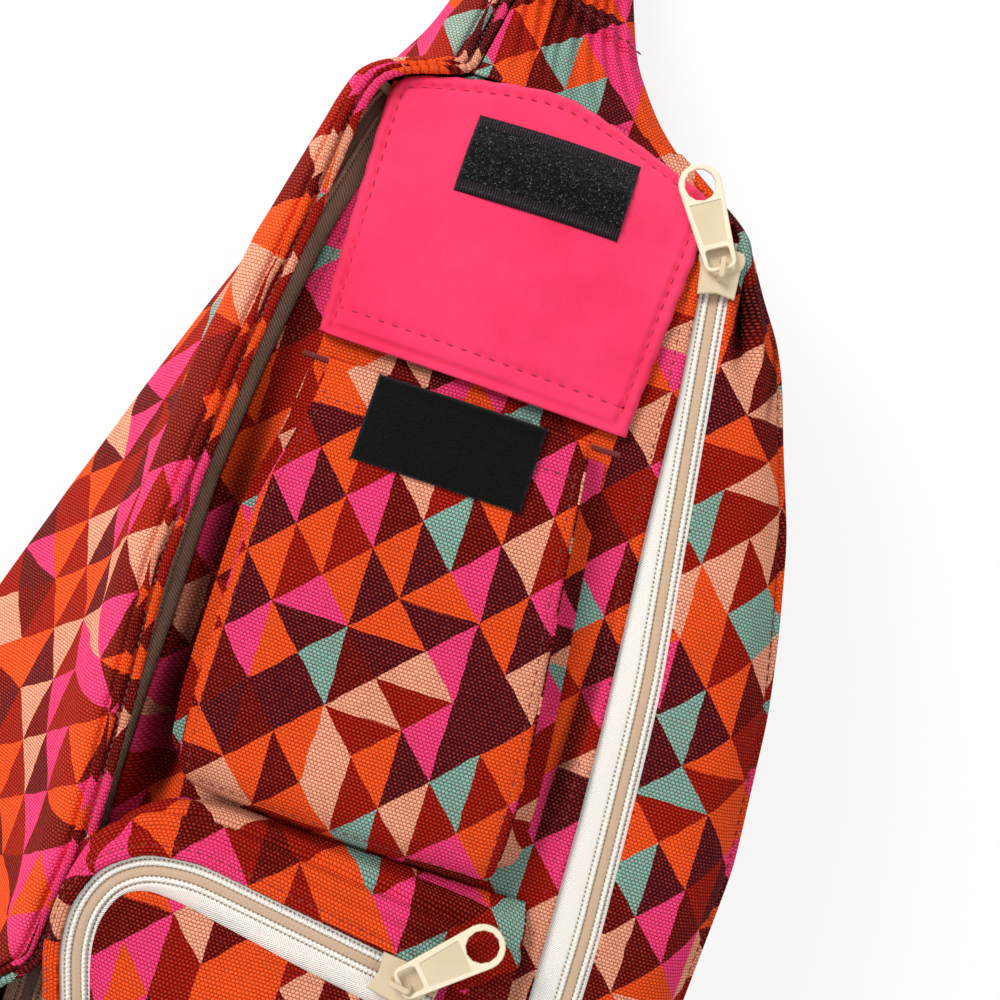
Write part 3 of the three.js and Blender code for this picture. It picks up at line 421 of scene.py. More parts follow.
printLook = {
    "cell": 16.4,  # side of the squares, mm
    "turn": 44.0,  # degrees from the bag's length
    "wobble": 0.11,  # hand-cut edges, in cells
    "slanted": 0.8,  # share of squares cut along the bag
    "swapped": 0.13,  # share of triangles that break the light and dark turns
    "light": [("#f6581e", 0.46), ("#fb4284", 0.24), ("#f2ae8c", 0.21), ("#78b8a8", 0.09)],
    "dark": [("#941204", 0.4), ("#5e0506", 0.34), ("#440718", 0.26)],
    # painted light: the paler colour that a lit side is washed toward
    "faded": "#ff6f58",
    "yarn": "#e2553f",  # painted highlight at the tops of the threads
    "fleck": 0.44,  # how much of it shows
    "gap": 0.95,  # how dark the painted shade in the depth between the threads is
    "relief": 0.42,  # mm
}


def makePrintGroup():
    tree, given, out = newGroup("triangle print", {"Vector": None, "Cell": 17.5, "Turn": 0.0, "Wobble": 0.1},
                                {"Color": "Color"})
    turned = addNode(tree, "VectorRotate", {"Vector": given["Vector"], "Angle": given["Turn"]}, rotation_type="Z_AXIS")
    x, y, _ = split(turned)
    u, v = x / given["Cell"], y / given["Cell"]
    nx, ny, _ = split(noise(pair(tree, u, v), 1.7, 2.0, 0.6, "Color"))
    u, v = u + (nx - 0.5) * given["Wobble"], v + (ny - 0.5) * given["Wobble"]
    cu, cv, fu, fv = u.math("FLOOR"), v.math("FLOOR"), u.math("FRACT"), v.math("FRACT")
    along = chance(pair(tree, cu, cv, 5.0)).math("LESS_THAN", printLook["slanted"])
    side = along * (fu + fv).math("GREATER_THAN", 1.0) + (1.0 - along) * fu.math("GREATER_THAN", fv)
    hue = chance(pair(tree, cu, cv, side + 11.0))
    swap = chance(pair(tree, cu, cv, side + 31.0)).math("LESS_THAN", printLook["swapped"])
    ramps = []
    for family in ("light", "dark"):
        ramp = tree.nodes.new("ShaderNodeValToRGB")
        ramp.color_ramp.interpolation = "CONSTANT"
        stops, start = ramp.color_ramp.elements, 0.0
        for k, (code, share) in enumerate(printLook[family]):
            stop = stops[k] if k < 2 else stops.new(start)
            stop.position, stop.color = start, colour(code)
            start += share
        plug(ramp.inputs["Fac"], hue)
        ramps.append(Wire(tree, ramp.outputs["Color"]))
    plug(out["Color"], blendColour(tree, abs(side - swap), *ramps))
    return tree


def makeWeaveGroup():
    # threads that show as small beads in staggered rows
    tree, given, out = newGroup("plain weave", {"Vector": None, "Across": 1.2, "Along": 1.0, "Uneven": 0.35},
                                {"Height": "Float", "Gap": "Float", "Fleck": "Float"})
    x, y, _ = split(given["Vector"])
    x = x + noise(given["Vector"], 0.35) * 0.9
    v = (y + noise(given["Vector"], 0.21) * 0.7) / given["Along"]
    u = x / given["Across"] + v.math("FLOOR").math("MODULO", 2.0) * 0.5
    fu, fv = (abs(w.math("FRACT") * 2.0 - 1.0) for w in (u, v))
    bead = (1.0 - fu ** 2.0) * (1.0 - fv ** 2.0)
    pick = chance(pair(tree, u.math("FLOOR"), v.math("FLOOR")))
    plug(out["Height"], bead ** 0.55 * (1.0 - pick * given["Uneven"]))
    plug(out["Gap"], calc(tree, "SUBTRACT", 1.0, bead * 1.9, clamp=True))
    plug(out["Fleck"], bead ** 2.4 * (1.0 - pick * 0.6))
    return tree


def makeTwillGroup():
    # fine diagonal ribs; Chevron sets how wide each band of one slant is
    tree, given, out = newGroup("twill", {"Vector": None, "Rib": 0.6, "Chevron": 0.0}, {"Height": "Float"})
    x, y, _ = split(given["Vector"])
    fold = x.math("PINGPONG", given["Chevron"])
    plain = given["Chevron"].math("LESS_THAN", 0.01)
    phase = (plain * x + fold + y) / given["Rib"]
    plug(out["Height"], abs((phase * math.pi).math("SINE")))
    return tree


def makeWearGroup():
    # slow changes of tone over a cloth, and fine fibres
    tree, given, out = newGroup("cloth wear", {"Vector": None, "Patch": 0.03}, {"Tone": "Float", "Fibre": "Float"})
    plug(out["Tone"], noise(given["Vector"], given["Patch"], 4.0, 0.6))
    plug(out["Fibre"], noise(given["Vector"], 2.6, 3.0, 0.7))
    return tree


groups = {"print": makePrintGroup(), "weave": makeWeaveGroup(), "twill": makeTwillGroup(), "wear": makeWearGroup()}


def useGroup(tree, group, **values):
    made = tree.nodes.new("ShaderNodeGroup")
    made.node_tree = groups[group]
    for label, value in values.items():
        plug(made.inputs[label], value)
    return {socket.name: Wire(tree, socket) for socket in made.outputs}


def startMaterial(name, coordinates="UV", roughness=0.8, sheen=0.0, coat=0.0, specular=0.35):
    made = bpy.data.materials.new(name)
    made.use_nodes = True
    tree = made.node_tree
    shader = tree.nodes["Principled BSDF"]
    for label, value in (("Roughness", roughness), ("Sheen Weight", sheen), ("Sheen Roughness", 0.45),
                         ("Coat Weight", coat), ("Specular IOR Level", specular)):
        shader.inputs[label].default_value = value
    source = addNode(tree, "TexCoord", {}, coordinates)
    spot = addNode(tree, "VectorMath", {0: source, "Scale": 1000.0}, operation="SCALE")  # metres to millimetres
    return made, tree, shader, spot


def finishCloth(tree, shader, tint, height, depth):
    plug(shader.inputs["Base Color"], tint)
    plug(shader.inputs["Normal"], addNode(tree, "Bump", {"Strength": 1.0, "Distance": depth / 1000, "Height": height}))


def makePrinted(name, turn=0.0, weave=(1.22, 1.02), lightWash=0.0, lit=0.0, shaded=()):
    made, tree, shader, spot = startMaterial(name, roughness=0.9, specular=0.05)
    inked = useGroup(tree, "print", Vector=spot, Cell=printLook["cell"],
                     Turn=math.radians(printLook["turn"] + turn), Wobble=printLook["wobble"])
    threads = useGroup(tree, "weave", Vector=spot, Across=weave[0], Along=weave[1], Uneven=0.35)
    wear = useGroup(tree, "wear", Vector=spot, Patch=0.035)
    # lit adds painted light: a lighter tone over the whole piece
    tone = wear["Tone"] * 0.5 + (0.76 + lit)
    x, y, _ = split(spot)
    for cx, cy, wide, long in shaded:  # deep folds that hardly any light reaches
        dx, dy = (x - cx) / wide, (y - cy) / long
        away = (dx * dx + dy * dy).math("MULTIPLY", 0.8, clamp=True)
        tone = tone * away.math("ADD", 0.2, clamp=True)
    tint = blendColour(tree, 1.0, inked["Color"], pair(tree, tone, tone, tone), "MULTIPLY")
    # painted light: the piece washed paler, as where the key light falls full on it
    if lightWash:
        tint = blendColour(tree, lightWash, tint, colour(printLook["faded"]))
    # painted highlight at the tops of the threads, painted shade in the depth between them
    tint = blendColour(tree, threads["Fleck"] * printLook["fleck"], tint, colour(printLook["yarn"]))
    dark = blendColour(tree, 1.0, tint, (0.42, 0.12, 0.12, 1.0), "MULTIPLY")
    tint = blendColour(tree, threads["Gap"] * printLook["gap"], tint, dark)
    finishCloth(tree, shader, tint, threads["Height"] + wear["Fibre"] * 0.25, printLook["relief"])
    return made


def makePlainCloth(name, code, shade, rib=0.7, chevron=0.0, depth=0.12, sheen=0.2, patch=0.04, coordinates="UV",
                   mixed=0.55, contrast=2.0, grained=0.35):
    made, tree, shader, spot = startMaterial(name, coordinates, 0.8, sheen)
    twill = useGroup(tree, "twill", Vector=spot, Rib=rib, Chevron=chevron)
    wear = useGroup(tree, "wear", Vector=spot, Patch=patch)
    tone = wear["Tone"].math("SUBTRACT", 0.38, clamp=True).math("MULTIPLY", contrast, clamp=True)
    factor = (tone * mixed).math("ADD", (1.0 - twill["Height"]) * grained, clamp=True)
    finishCloth(tree, shader, blendColour(tree, factor, colour(code), colour(shade)),
                twill["Height"] + wear["Fibre"] * 0.6, depth)
    return made


def makePile(name, code, light, size, depth, coordinates="UV"):
    # short upright loops or hooks
    made, tree, shader, spot = startMaterial(name, coordinates, 0.95, 0.1, specular=0.1)
    away = addNode(tree, "TexVoronoi", {"Vector": spot, "Scale": 1.0 / size}, "Distance")
    luck, _, _ = split(Wire(tree, away.socket.node.outputs["Color"]))
    spark = calc(tree, "SUBTRACT", 0.42, away, clamp=True).math("MULTIPLY", 3.2, clamp=True)
    finishCloth(tree, shader, blendColour(tree, spark * luck ** 2.2, colour(code), colour(light)),
                1.0 - away + noise(spot, 3.0 / size, 3.0, 0.7) * 0.8, depth)
    return made


def makeSelvedge(name, code, shade):
    # cross ribs of a woven tape's edge
    made, tree, shader, spot = startMaterial(name, roughness=0.85, specular=0.15)
    x, _, _ = split(spot)
    phase = x / 0.86 + noise(spot, 0.9, 2.0, 0.6) * 0.35
    rib = abs((phase * math.pi).math("SINE")) ** 1.4
    wear = useGroup(tree, "wear", Vector=spot, Patch=0.3)
    lit = rib.math("MULTIPLY", wear["Tone"] * 1.1 + 0.2, clamp=True)
    finishCloth(tree, shader, blendColour(tree, lit, colour(shade), colour(code)), rib, 0.35)
    return made


def makeThread(name, code, shade):
    made, tree, shader, spot = startMaterial(name, "Object", 0.7, 0.2)
    twist = addNode(tree, "TexWave", {"Vector": spot, "Scale": 1.6, "Distortion": 1.5}, "Fac",
                    bands_direction="DIAGONAL")
    finishCloth(tree, shader, blendColour(tree, twist * 0.6, colour(code), colour(shade)), twist, 0.1)
    return made


def makeEnamel(name, code, shade, roughness=0.24):
    # painted cast metal: a smooth coat, a little darker in its concave corners and in slow random patches
    made, tree, shader, spot = startMaterial(name, "Object", roughness, 0.0, 0.6, 0.5)
    shader.inputs["Coat Roughness"].default_value = 0.12
    wear = useGroup(tree, "wear", Vector=spot, Patch=0.12)
    edge = addNode(tree, "NewGeometry", {}, "Pointiness")
    hollow = calc(tree, "SUBTRACT", 0.49, edge, clamp=True).math("MULTIPLY", 9.0, clamp=True)
    darkening = (wear["Tone"] * 0.28).math("ADD", hollow * 0.6, clamp=True)
    plug(shader.inputs["Roughness"], wear["Fibre"] * 0.16 + (roughness - 0.06))
    finishCloth(tree, shader, blendColour(tree, darkening, colour(code), colour(shade)), wear["Fibre"], 0.02)
    return made


def makeFoam(name, code, shade):
    made, tree, shader, spot = startMaterial(name, "Object", 0.95)
    cell = addNode(tree, "TexVoronoi", {"Vector": spot, "Scale": 1.1}, "Distance")
    finishCloth(tree, shader, blendColour(tree, cell, colour(shade), colour(code)), cell, 0.3)
    return made


canvas = makePrinted("printed canvas")
canvasFront = makePrinted("printed canvas, front", shaded=[(-56, -104, 8, 34), (-57, -50, 5, 60), (61, -70, 4, 40)])
canvasStrip = makePrinted("printed canvas, right strip", shaded=[(72, 66, 6, 16), (88, 58, 2.5, 26)])
# the left side gets painted light: a lighter tone and a paler wash
canvasSide = makePrinted("printed canvas, left side", turn=12.0, lightWash=0.1, lit=0.34)
canvasStrap = makePrinted("printed canvas, strap", turn=3.0)
# painted shade: the deeper red patches of the pink stand in for the flap's soft shading
pinkTwill = makePlainCloth("pink twill", "#fb3f70", "#ec0c40", rib=0.66, depth=0.14, sheen=0.03, patch=0.02, mixed=0.6,
                           contrast=2.6, grained=0.55)
liningTwill = makePlainCloth("lining", "#8a3040", "#6d2030", rib=0.5, coordinates="Object")
creamTape = makePlainCloth("cream zip tape", "#fffcf6", "#e2d8c6", rib=0.8, chevron=2.4, depth=0.2, sheen=0.04,
                           mixed=0.08)
# the left zip's tape: darker and browner than the cream tapes, partly its own colour and partly painted shade from the
# hem that laps over it
taupeTape = makePlainCloth("taupe zip tape", "#c6a088", "#704a38", rib=1.15, chevron=9.0, depth=0.45, sheen=0.04)
beigeCoil = makeThread("beige coil", "#e2c4a6", "#c29c80")
# the left zip's coil: darker than the beige coil, partly its own colour and partly painted shade from the hem's lap
taupeCoil = makeThread("taupe coil", "#7a5d4c", "#4c372c")
hemCanvas = makePrinted("printed canvas, hem", turn=12.0, weave=(0.9, 1.1))
webbingCloth = makePlainCloth("webbing", "#5a1a20", "#3c1014", rib=1.1, chevron=3.1, depth=0.3, sheen=0.1)
seamThread = makeThread("dark seam thread", "#8e241c", "#560f0e")
hemThread = makeThread("faded hem thread", "#d2938a", "#7c2a26")
flapThread = makeThread("red flap thread", "#c81040", "#8c0a24")
zipThread = makeThread("beige zip thread", "#b09a78", "#75624a")
hookPile = makePile("hook pile", "#040405", "#8a8a90", 0.62, 0.5)
loopPile = makePile("loop pile", "#040405", "#161618", 0.5, 0.3)
hookTips = makePile("hook tips", "#0b0b0d", "#8a8a92", 0.9, 0.2, "Object")
patchThread = makeThread("black patch thread", "#0d0b0d", "#2a2528")
selvedge = makeSelvedge("ribbed patch edge", "#3b3338", "#060506")
creamEnamel = makeEnamel("cream enamel", "#efe2c6", "#c8b48c")
beigeEnamel = makeEnamel("beige enamel", "#d9c6a4", "#a48a64")
plasticDark = makeEnamel("dark plastic", "#2a1518", "#120a0b", roughness=0.42)
foamGrey = makeFoam("foam", "#4a4a4d", "#2c2c2e")
print("materials ready:", len(bpy.data.materials))

finishes = {"ladder_lock": plasticDark, "strap_foam": foamGrey, "back_foam_pad": foamGrey, "back_lining": liningTwill,
            "divider_panel": liningTwill}
for zipName in ("right", "left", "lower"):
    finishes.update({zipName + "_zip_slider": beigeEnamel, zipName + "_zip_stop": beigeEnamel,
                     zipName + "_zip_puller": creamEnamel})
for node, finish in finishes.items():
    for slot in bpy.data.objects[node].material_slots:
        slot.material = finish

# all in mm; heights are over the ground that the bag lies on
bagSize = {
    "frontHeight": 102, "bottomY": -252, "neckY": 206, "frontLowY": -232, "frontTopY": 110, "stripLowY": -226,
    "crown": 4.5, "shoulder": 15.5, "hemRise": 1.2, "cloth": 1.6, "lining": 0.9, "gap": 0.3,
}
zipSize = {"coilEdge": 4.3, "overTape": 2.8, "clear": 0.6, "pitch": 1.35}
high = bagSize["frontHeight"]
cloth, lining, gap = bagSize["cloth"], bagSize["lining"], bagSize["gap"]
over = zipSize["overTape"]
zipEdge = zipSize["coilEdge"] + zipSize["clear"]

leftOutline = lineOf([(-252, -58), (-242, -84), (-224, -108), (-196, -130), (-160, -144), (-120, -146), (-85, -136),
                      (-13, -113), (44, -93), (81, -79), (117, -70), (141, -57), (175, -47), (206, -42)])
rightOutline = lineOf([(-252, 58), (-242, 82), (-225, 98), (-195, 111), (-150, 119), (-94, 120.4), (-48, 116),
                       (-24, 111.5), (5, 105), (53, 87), (91, 66), (105, 46), (119, 30), (140, 16), (163, 8),
                       (185, 2), (206, 0)])
rightSeamDrop = lineOf([(-252, 80), (-242, 64), (-225, 46), (-195, 30), (-150, 20), (-94, 15), (-24, 14), (53, 20),
                        (91, 30), (105, 38), (119, 45), (140, 54), (163, 64), (185, 78), (206, 88)])
hemX = lineOf([(-252, -58), (-242, -66), (-226, -79), (-212, -79), (-194, -78), (-182, -66), (-147, -62.5),
               (-94, -64.7), (-60, -66.8), (-30, -65.7), (8, -63), (50, -58.5), (88, -56.5), (99, -54),
               (106, -45), (110, -30), (206, -24)], soft=5)
hemDrop = lineOf([(-252, 62), (-242, 34), (-226, 8), (-205, 2), (-150, 0), (-60, -2.5), (28, 0), (74, 6), (92, 10),
                  (103, 14), (112, 20), (134, 36), (150, 46), (170, 60), (190, 77), (206, 86)], soft=7)
# the main zips from the neck to the bottom: y, x and how far each lies under the front's height
leftZip = [(96, -53, 24), (88, -56, 21), (50, -64, 15.5), (8, -68.5, 13.5), (-30, -71.2, 13), (-60, -71, 13),
           (-223, -69, 13)]
rightZip = [(84, 58.3, 13), (-47, 76.7, 2.6), (-67, 78.6, 2.2), (-94, 80.7, 2.2), (-125, 83, 2.8), (-160, 84, 4),
            (-195, 84, 6), (-226, 82, 13)]
# the lower zip from its slider's end to its stop: x and y
lowZip = [(46, -151), (8, -145.9), (-30, -140.8), (-44, -142.6), (-53, -149), (-57, -160), (-56.5, -172),
          (-49, -196), (-46, -222)]
leftZipX, rightZipX = (lineOf([(y, x) for y, x, d in line]) for line in (leftZip, rightZip))
leftZipZ = lineOf([(y, high - d) for y, x, d in leftZip])
showLeftTape = lineOf([(-226, 9), (-147, 8.5), (8, 8.8), (50, 9.3), (92, 9.5)])
showRightTape = lineOf([(-226, 11), (-94, 11), (-37, 11), (36, 6), (72, 5), (90, 5)])
frontLeftX = lineOf([(y, float(leftZipX(y) + showLeftTape(y))) for y in (-226, -147, -60, -30, 8, 50, 88)]
                    + [(103, -41), (110, -29.7)], soft=5)
frontRightX = lineOf([(y, float(rightZipX(y) - showRightTape(y)))
                      for y in (-226, -160, -94, -67, -47, 0, 36, 72, 88)] + [(99, 46), (110, 33.5)], soft=5)
zipHeights = [(86.5, high - 13 + over)] + [(y, high - d + over) for y, x, d in rightZip]
frontRightZ = lineOf(zipHeights + [(99, high - 20), (110, high - 28)], soft=5)
stripInnerZ = lineOf(zipHeights + [(97, high - 22), (110, high - 34)], soft=5)


def hemZ(y):
    return high - hemDrop(y)


def seamZ(y):
    return high - rightSeamDrop(y)


def frontZ(x, y):
    left = np.minimum(leftZipZ(y) + over, hemZ(y))
    share = np.clip((x - frontLeftX(y)) / (frontRightX(y) - frontLeftX(y)), 0, 1)
    return mix(left, frontRightZ(y), share) + bagSize["crown"] * np.sin(np.pi * share) ** 2


frontLook = {
    "fold": 0.55,
    "foldSize": 34,
    "hemWidth": 3.2,
    # x, y, half width, half length and depth of each hollow
    "hollows": [(-54.5, -110.0, 6.5, 24.0, 21.0), (-55.0, -50.0, 4.8, 48.0, 6.5), (60.0, -70.0, 4.5, 34.0, 2.2)],
}


def frontSurface(x, y):
    z = frontZ(x, y) + frontLook["fold"] * folds(x * 1.4, y * 0.6, frontLook["foldSize"], 3)
    for px, py, wide, long, deep in frontLook["hollows"]:
        hold = ease((x - frontLeftX(y)) / 3.5) if px < 0 else 1.0
        z = z - deep * hold * np.exp(-((((x - px) / wide) ** 2 + ((y - py) / long) ** 2) ** 1.3))
    return z


def makeFront():
    u, y = gridOf(74, 190, bagSize["frontLowY"], bagSize["frontTopY"])
    left, right = frontLeftX(y), frontRightX(y)
    x = mix(left, right, u)
    z = frontSurface(x, y)
    width = frontLook["hemWidth"]
    for d in (x - left, right - x):
        z = z + ridges(d, (0.45, 1.2, 1.2), (-0.35, width, 0.7))
    addCloth("front cloth", sheetOf(x, y, z), cloth, canvasFront, ["front_panel"])
    y = np.linspace(-228, 104, 400)
    for side, x in enumerate((frontLeftX(y) + width, frontRightX(y) - width)):
        addStitches("front stitches %d" % side, sheetOf(x, y, frontSurface(x, y) - 0.3), seamThread)


sideLook = {
    "fold": 2.2,
    "foldSize": 46,
    "ridges": [(-2.0, 2.9, 1.0), (-1.3, 6.4, 0.8), (0.4, 9.0, 1.8)],  # height, distance from the hem, half width
    # share of the way out and of the height, from the back up to the hem
    "profile": [(0.97, 0.0), (1.0, 0.12), (0.84, 0.26), (0.6, 0.38), (0.34, 0.56), (0.14, 0.78), (0.02, 0.95)],
    "hem": [(0.72, 0.8), (0.35, 1.0), (0.0, 0.0)],
    # each bound edge: its name, distance from the hem, radius and height, and the shift of its binding thread
    "ropes": [("inner", 0.7, 1.4, 0.6, 0.0), ("outer", 4.6, 1.25, 0.5, 1.4)],
}


def makeLeftSide():
    rows = np.linspace(bagSize["bottomY"] + 3, bagSize["neckY"], 250)
    edge, top, out = hemX(rows), hemZ(rows), leftOutline(rows)
    shoulder = np.minimum(bagSize["shoulder"], 0.45 * (edge - out))
    floor = cloth + gap
    profile = [(edge - shoulder - (edge - shoulder - out) * s, floor + (top - floor) * h)
               for s, h in sideLook["profile"]]
    profile += [(edge - shoulder * s, top + bagSize["hemRise"] * h) for s, h in sideLook["hem"]]
    t = np.concatenate([np.linspace(0, 7, 38, endpoint=False), np.linspace(7, 9, 32)])
    x, z = np.transpose(splineAt(np.array(profile), t), (1, 2, 0))
    grid = sheetOf(x, rows[:, None], z)
    y = grid[..., 1]
    fromHem = -spread(grid, -1)
    body = ease((fromHem - 9) / 30) * ease((z - 3) / 25) * ease((bagSize["neckY"] - y) / 30)
    wave = folds(fromHem * 0.55, y + fromHem * 0.5, sideLook["foldSize"], 11)
    wave = wave + 0.5 * folds(fromHem * 1.6, y * 0.5, 22, 5)
    lift = sideLook["fold"] * (wave - 0.35) * body + ridges(fromHem, *sideLook["ridges"]) * ease((y + 236) / 20)
    grid = raised(grid, lift, (-0.5, 0, 1))
    across = edge[:, None] + spread(np.stack([x, 0.4 * z], -1), -1)
    addCloth("left side cloth", grid, cloth, canvasSide, ["left_side_panel"], (across, grid[..., 1]), (-0.6, 0, 0.8))
    for label, away, thick, rise, drift in sideLook["ropes"]:
        line = lineAt(away, fromHem[:, ::-1], grid[:, ::-1])
        line = evenly(line[(line[:, 1] > -236) & (line[:, 1] < 150)], 0.62)
        line[:, 2] += rise - thick * 0.45
        line[:, 0] += 0.35 * softNoise(line[:, 1] / 9, 0 * line[:, 1] + away, 15)
        addRope("hem rope " + label, line, thick, 3.1, hemCanvas, drift)
        if label == "inner":
            addStitches("hem stitches", line + np.array([-1.9, 0, -0.75]), hemThread, 2.4, 1.6, 0.2, 0.05)


stripLook = {
    "bulge": 2.0,
    "fold": 0.9,
    "seamAt": 3.2,
    "seam": [(0.9, 1.4, 1.3), (-0.81, 3.2, 0.8), (0.3, 5.6, 1.6)],  # height, distance from the seam, half width
    "hollow": (69.0, 65.0, 4.4, 15.0, 9.0),  # x, y, half width, half length and depth
}


def makeRightStrip():
    u, y = gridOf(52, 250, bagSize["stripLowY"], bagSize["frontTopY"])
    edge = np.minimum(rightZipX(y) + zipEdge, rightOutline(y) - 5)
    x = mix(edge, rightOutline(y), u)
    z = mix(stripInnerZ(y), seamZ(y), u**3) + stripLook["bulge"] * np.sin(np.pi * u * u)
    grid = sheetOf(x, y, z)
    fromSeam, fromZip = -spread(grid, -1), spread(grid)
    lift = stripLook["fold"] * folds(x * 1.2, y * 0.5, 30, 23) * ease(fromZip / 8) * ease(fromSeam / 6)
    lift = lift + ridges(fromSeam, *stripLook["seam"])
    hx, hy, wide, long, deep = stripLook["hollow"]
    dx, dy = (x - hx - 0.42 * (hy - y)) / wide, (y - hy) / long
    lift = lift - deep * np.exp(-(dx * dx + dy * dy) ** 1.5) * ease((fromZip - 2.0) / 2.4)
    lift = lift + 1.5 * bump(dx, 1.5 - 0.3 * dy * dy, 0.3) * bump(dy, -0.2, 1.1)
    lift = lift + 1.1 * bump(dx, 2.6, 0.35) * bump(dy, -0.6, 1.2)
    grid = raised(grid, lift)
    across = x + (fromZip - (x - x[:, :1])) * 0.9
    addCloth("right strip cloth", grid, cloth, canvasStrip, ["right_front_strip"], (across, y))
    line = lineAt(stripLook["seamAt"], fromSeam[:, ::-1], grid[:, ::-1])
    addStitches("right seam stitches", line, seamThread, 3.4, 2.3, 0.26, 0.05, normal=(0.3, 0, 1))


rightLook = {"fold": 1.6, "lean": 8.5, "belly": 3, "ridges": [(0.7, 1.2, 1.3), (-0.4, 3.4, 0.9)]}


def makeRightSide():
    u, y = gridOf(40, 170, bagSize["bottomY"] + 3, bagSize["neckY"])
    x = rightOutline(y) - rightLook["lean"] * u + rightLook["belly"] * np.sin(np.pi * u)
    z = mix(seamZ(y) - cloth - 2 * gap, cloth + gap, u)
    grid = sheetOf(x, y, z)
    down = spread(grid)
    wave = folds(z * 1.1, y * 0.6, 30, 41) + 0.4 * folds(z * 2.0, y * 0.7, 15, 42)
    lift = rightLook["fold"] * (wave - 0.5) * ease(u / 0.12) * ease((1 - u) / 0.1)
    grid = raised(grid, lift + ridges(down, *rightLook["ridges"]), (1, 0, 0))
    uv = (rightOutline(y) + down + 6, y)
    addCloth("right side cloth", grid, cloth, canvas, ["right_side_panel"], uv, (1, 0, 0.1))


bottomLook = {"lowLeft": -55.0, "lowRight": 48.0, "sag": 7, "puff": 6, "topY": -232.0, "turn": (1.6, -2.6, 0)}


def makeBottom():
    main, corner, rows = 84, 21, 40  # columns below the bag and round its right corner, rows up
    u, v = gridOf(main, rows)
    topY = bottomLook["topY"]
    topX = mix(float(hemX(topY)) + 9, float(rightOutline(topY)) - 14, u)
    arch = np.sin(np.pi * v)
    x = mix(mix(bottomLook["lowLeft"], bottomLook["lowRight"], u), topX, v)
    y = mix(-251.0, -233.3, v) - bottomLook["sag"] * arch
    z = mix(cloth + gap, frontZ(topX, topY) - 3, v) + bottomLook["puff"] * arch
    grid = sheetOf(x, y, z)
    grid = raised(grid, 1.2 * (folds(x * 0.8, z * 0.8, 30, 57) - 0.4) * arch, (0, -1, 0.3))
    # its right end turns the corner to the side panel and the strip
    rim = [(56.5, -249.6, cloth + gap)]
    rim += [(float(rightOutline(q)) - 0.8, q - 0.6, float(seamZ(q)) - 2.4) for q in (-249, -245, -240, -234, -228)]
    rim += [(93.5, -227.6, 72.0), (86.5, -227.2, 88.0)]
    rim = splineAt(rim, np.linspace(0, len(rim) - 1, rows))
    turn = np.linspace(0, 1, corner + 1)[1:]
    added = mix(grid[:, -1][:, None], rim[:, None], turn[None, :, None])
    added = added + np.array(bottomLook["turn"]) * (np.sin(np.pi * turn)[None] * arch[:, :1])[..., None]
    grid = np.concatenate([grid, added], axis=1)
    past = np.arange(main + corner) >= main
    across = np.where(past, spread(grid, main - 1) + grid[:, main - 1, 0, None], grid[..., 0])
    uv = (across, topY - (high - grid[..., 2]))
    addCloth("bottom cloth", grid, cloth, canvas, ["bottom_panel"], uv, (0, -1, 0.3))


neckLook = {"gather": 1.5, "count": 9, "overlapX": (-22, -15, 18), "overlapY": (144, 147, 139)}


def makeNeck():
    rows, cols, top = 120, 100, bagSize["neckY"]
    u, y = gridOf(cols, rows, bagSize["frontTopY"] + 1.3, top)
    x = mix(hemX(y) + 1.3, rightOutline(y), u)
    z = mix(hemZ(y), seamZ(y), u) + bagSize["crown"] * (1 - (2 * u - 1) ** 4)
    near = ease((y - 111) / 8) * ease((top - y) / 20)
    turn = u * neckLook["count"] + 0.8 * softNoise(u * 5, y / 40, 71)
    gather = neckLook["gather"] * np.sin(2 * np.pi * turn) * (0.35 + 0.65 * ease((y - 118) / 26))
    gather = gather * ease(u / 0.1) * ease((1 - u) / 0.1)
    lap = np.interp(x, neckLook["overlapX"], neckLook["overlapY"])
    step = 1.5 * ease((y - lap) / 1.6) * ease((top - y) / 12) - 0.8 * bump(y, lap - 1.0, 1.2)
    z = z + near * gather + step + 0.8 * folds(x, y, 24, 73) * near
    addCloth("neck cloth", sheetOf(x, y, z), cloth, canvas, ["neck_panel"])
    xs = np.linspace(neckLook["overlapX"][0] + 1, neckLook["overlapX"][-1], 60)
    ys = np.interp(xs, neckLook["overlapX"], neckLook["overlapY"]) + 3.2
    share = (xs - (hemX(ys) + 1.3)) / (rightOutline(ys) - hemX(ys) - 1.3)
    row = ((ys - y[0, 0]) / (top - y[0, 0]) * (rows - 1)).astype(int)
    zs = z[row, (np.clip(share, 0, 1) * (cols - 1)).astype(int)]
    addStitches("neck stitches", sheetOf(xs, ys, zs), seamThread, radius=0.28, lift=0.05)


backLook = {"rim": 7, "rimHeight": 0.5, "quilt": 46, "quiltHeight": 0.35}


def makeBack():
    u, v = gridOf(64, 100)
    y = mix(bagSize["bottomY"], bagSize["neckY"], v)
    left, right = leftOutline(y), rightOutline(y) - 8
    x = mix(left, right, u)
    edge = np.minimum(np.minimum(x - left, right - x), np.minimum(y - bagSize["bottomY"], bagSize["neckY"] - y))
    pitch = backLook["quilt"]
    quilt = backLook["quiltHeight"] * bump((x * 0.5 + y) % pitch, pitch / 2, 1.6) * ease((edge - 12) / 6)
    z = 0.05 + backLook["rimHeight"] * bump(edge, backLook["rim"], 1.6) + quilt + 0.6 * (1 - ease(edge / 3))
    addCloth("back cloth", sheetOf(x, y, z), -cloth, canvas, ["back_panel"], (-x, y))


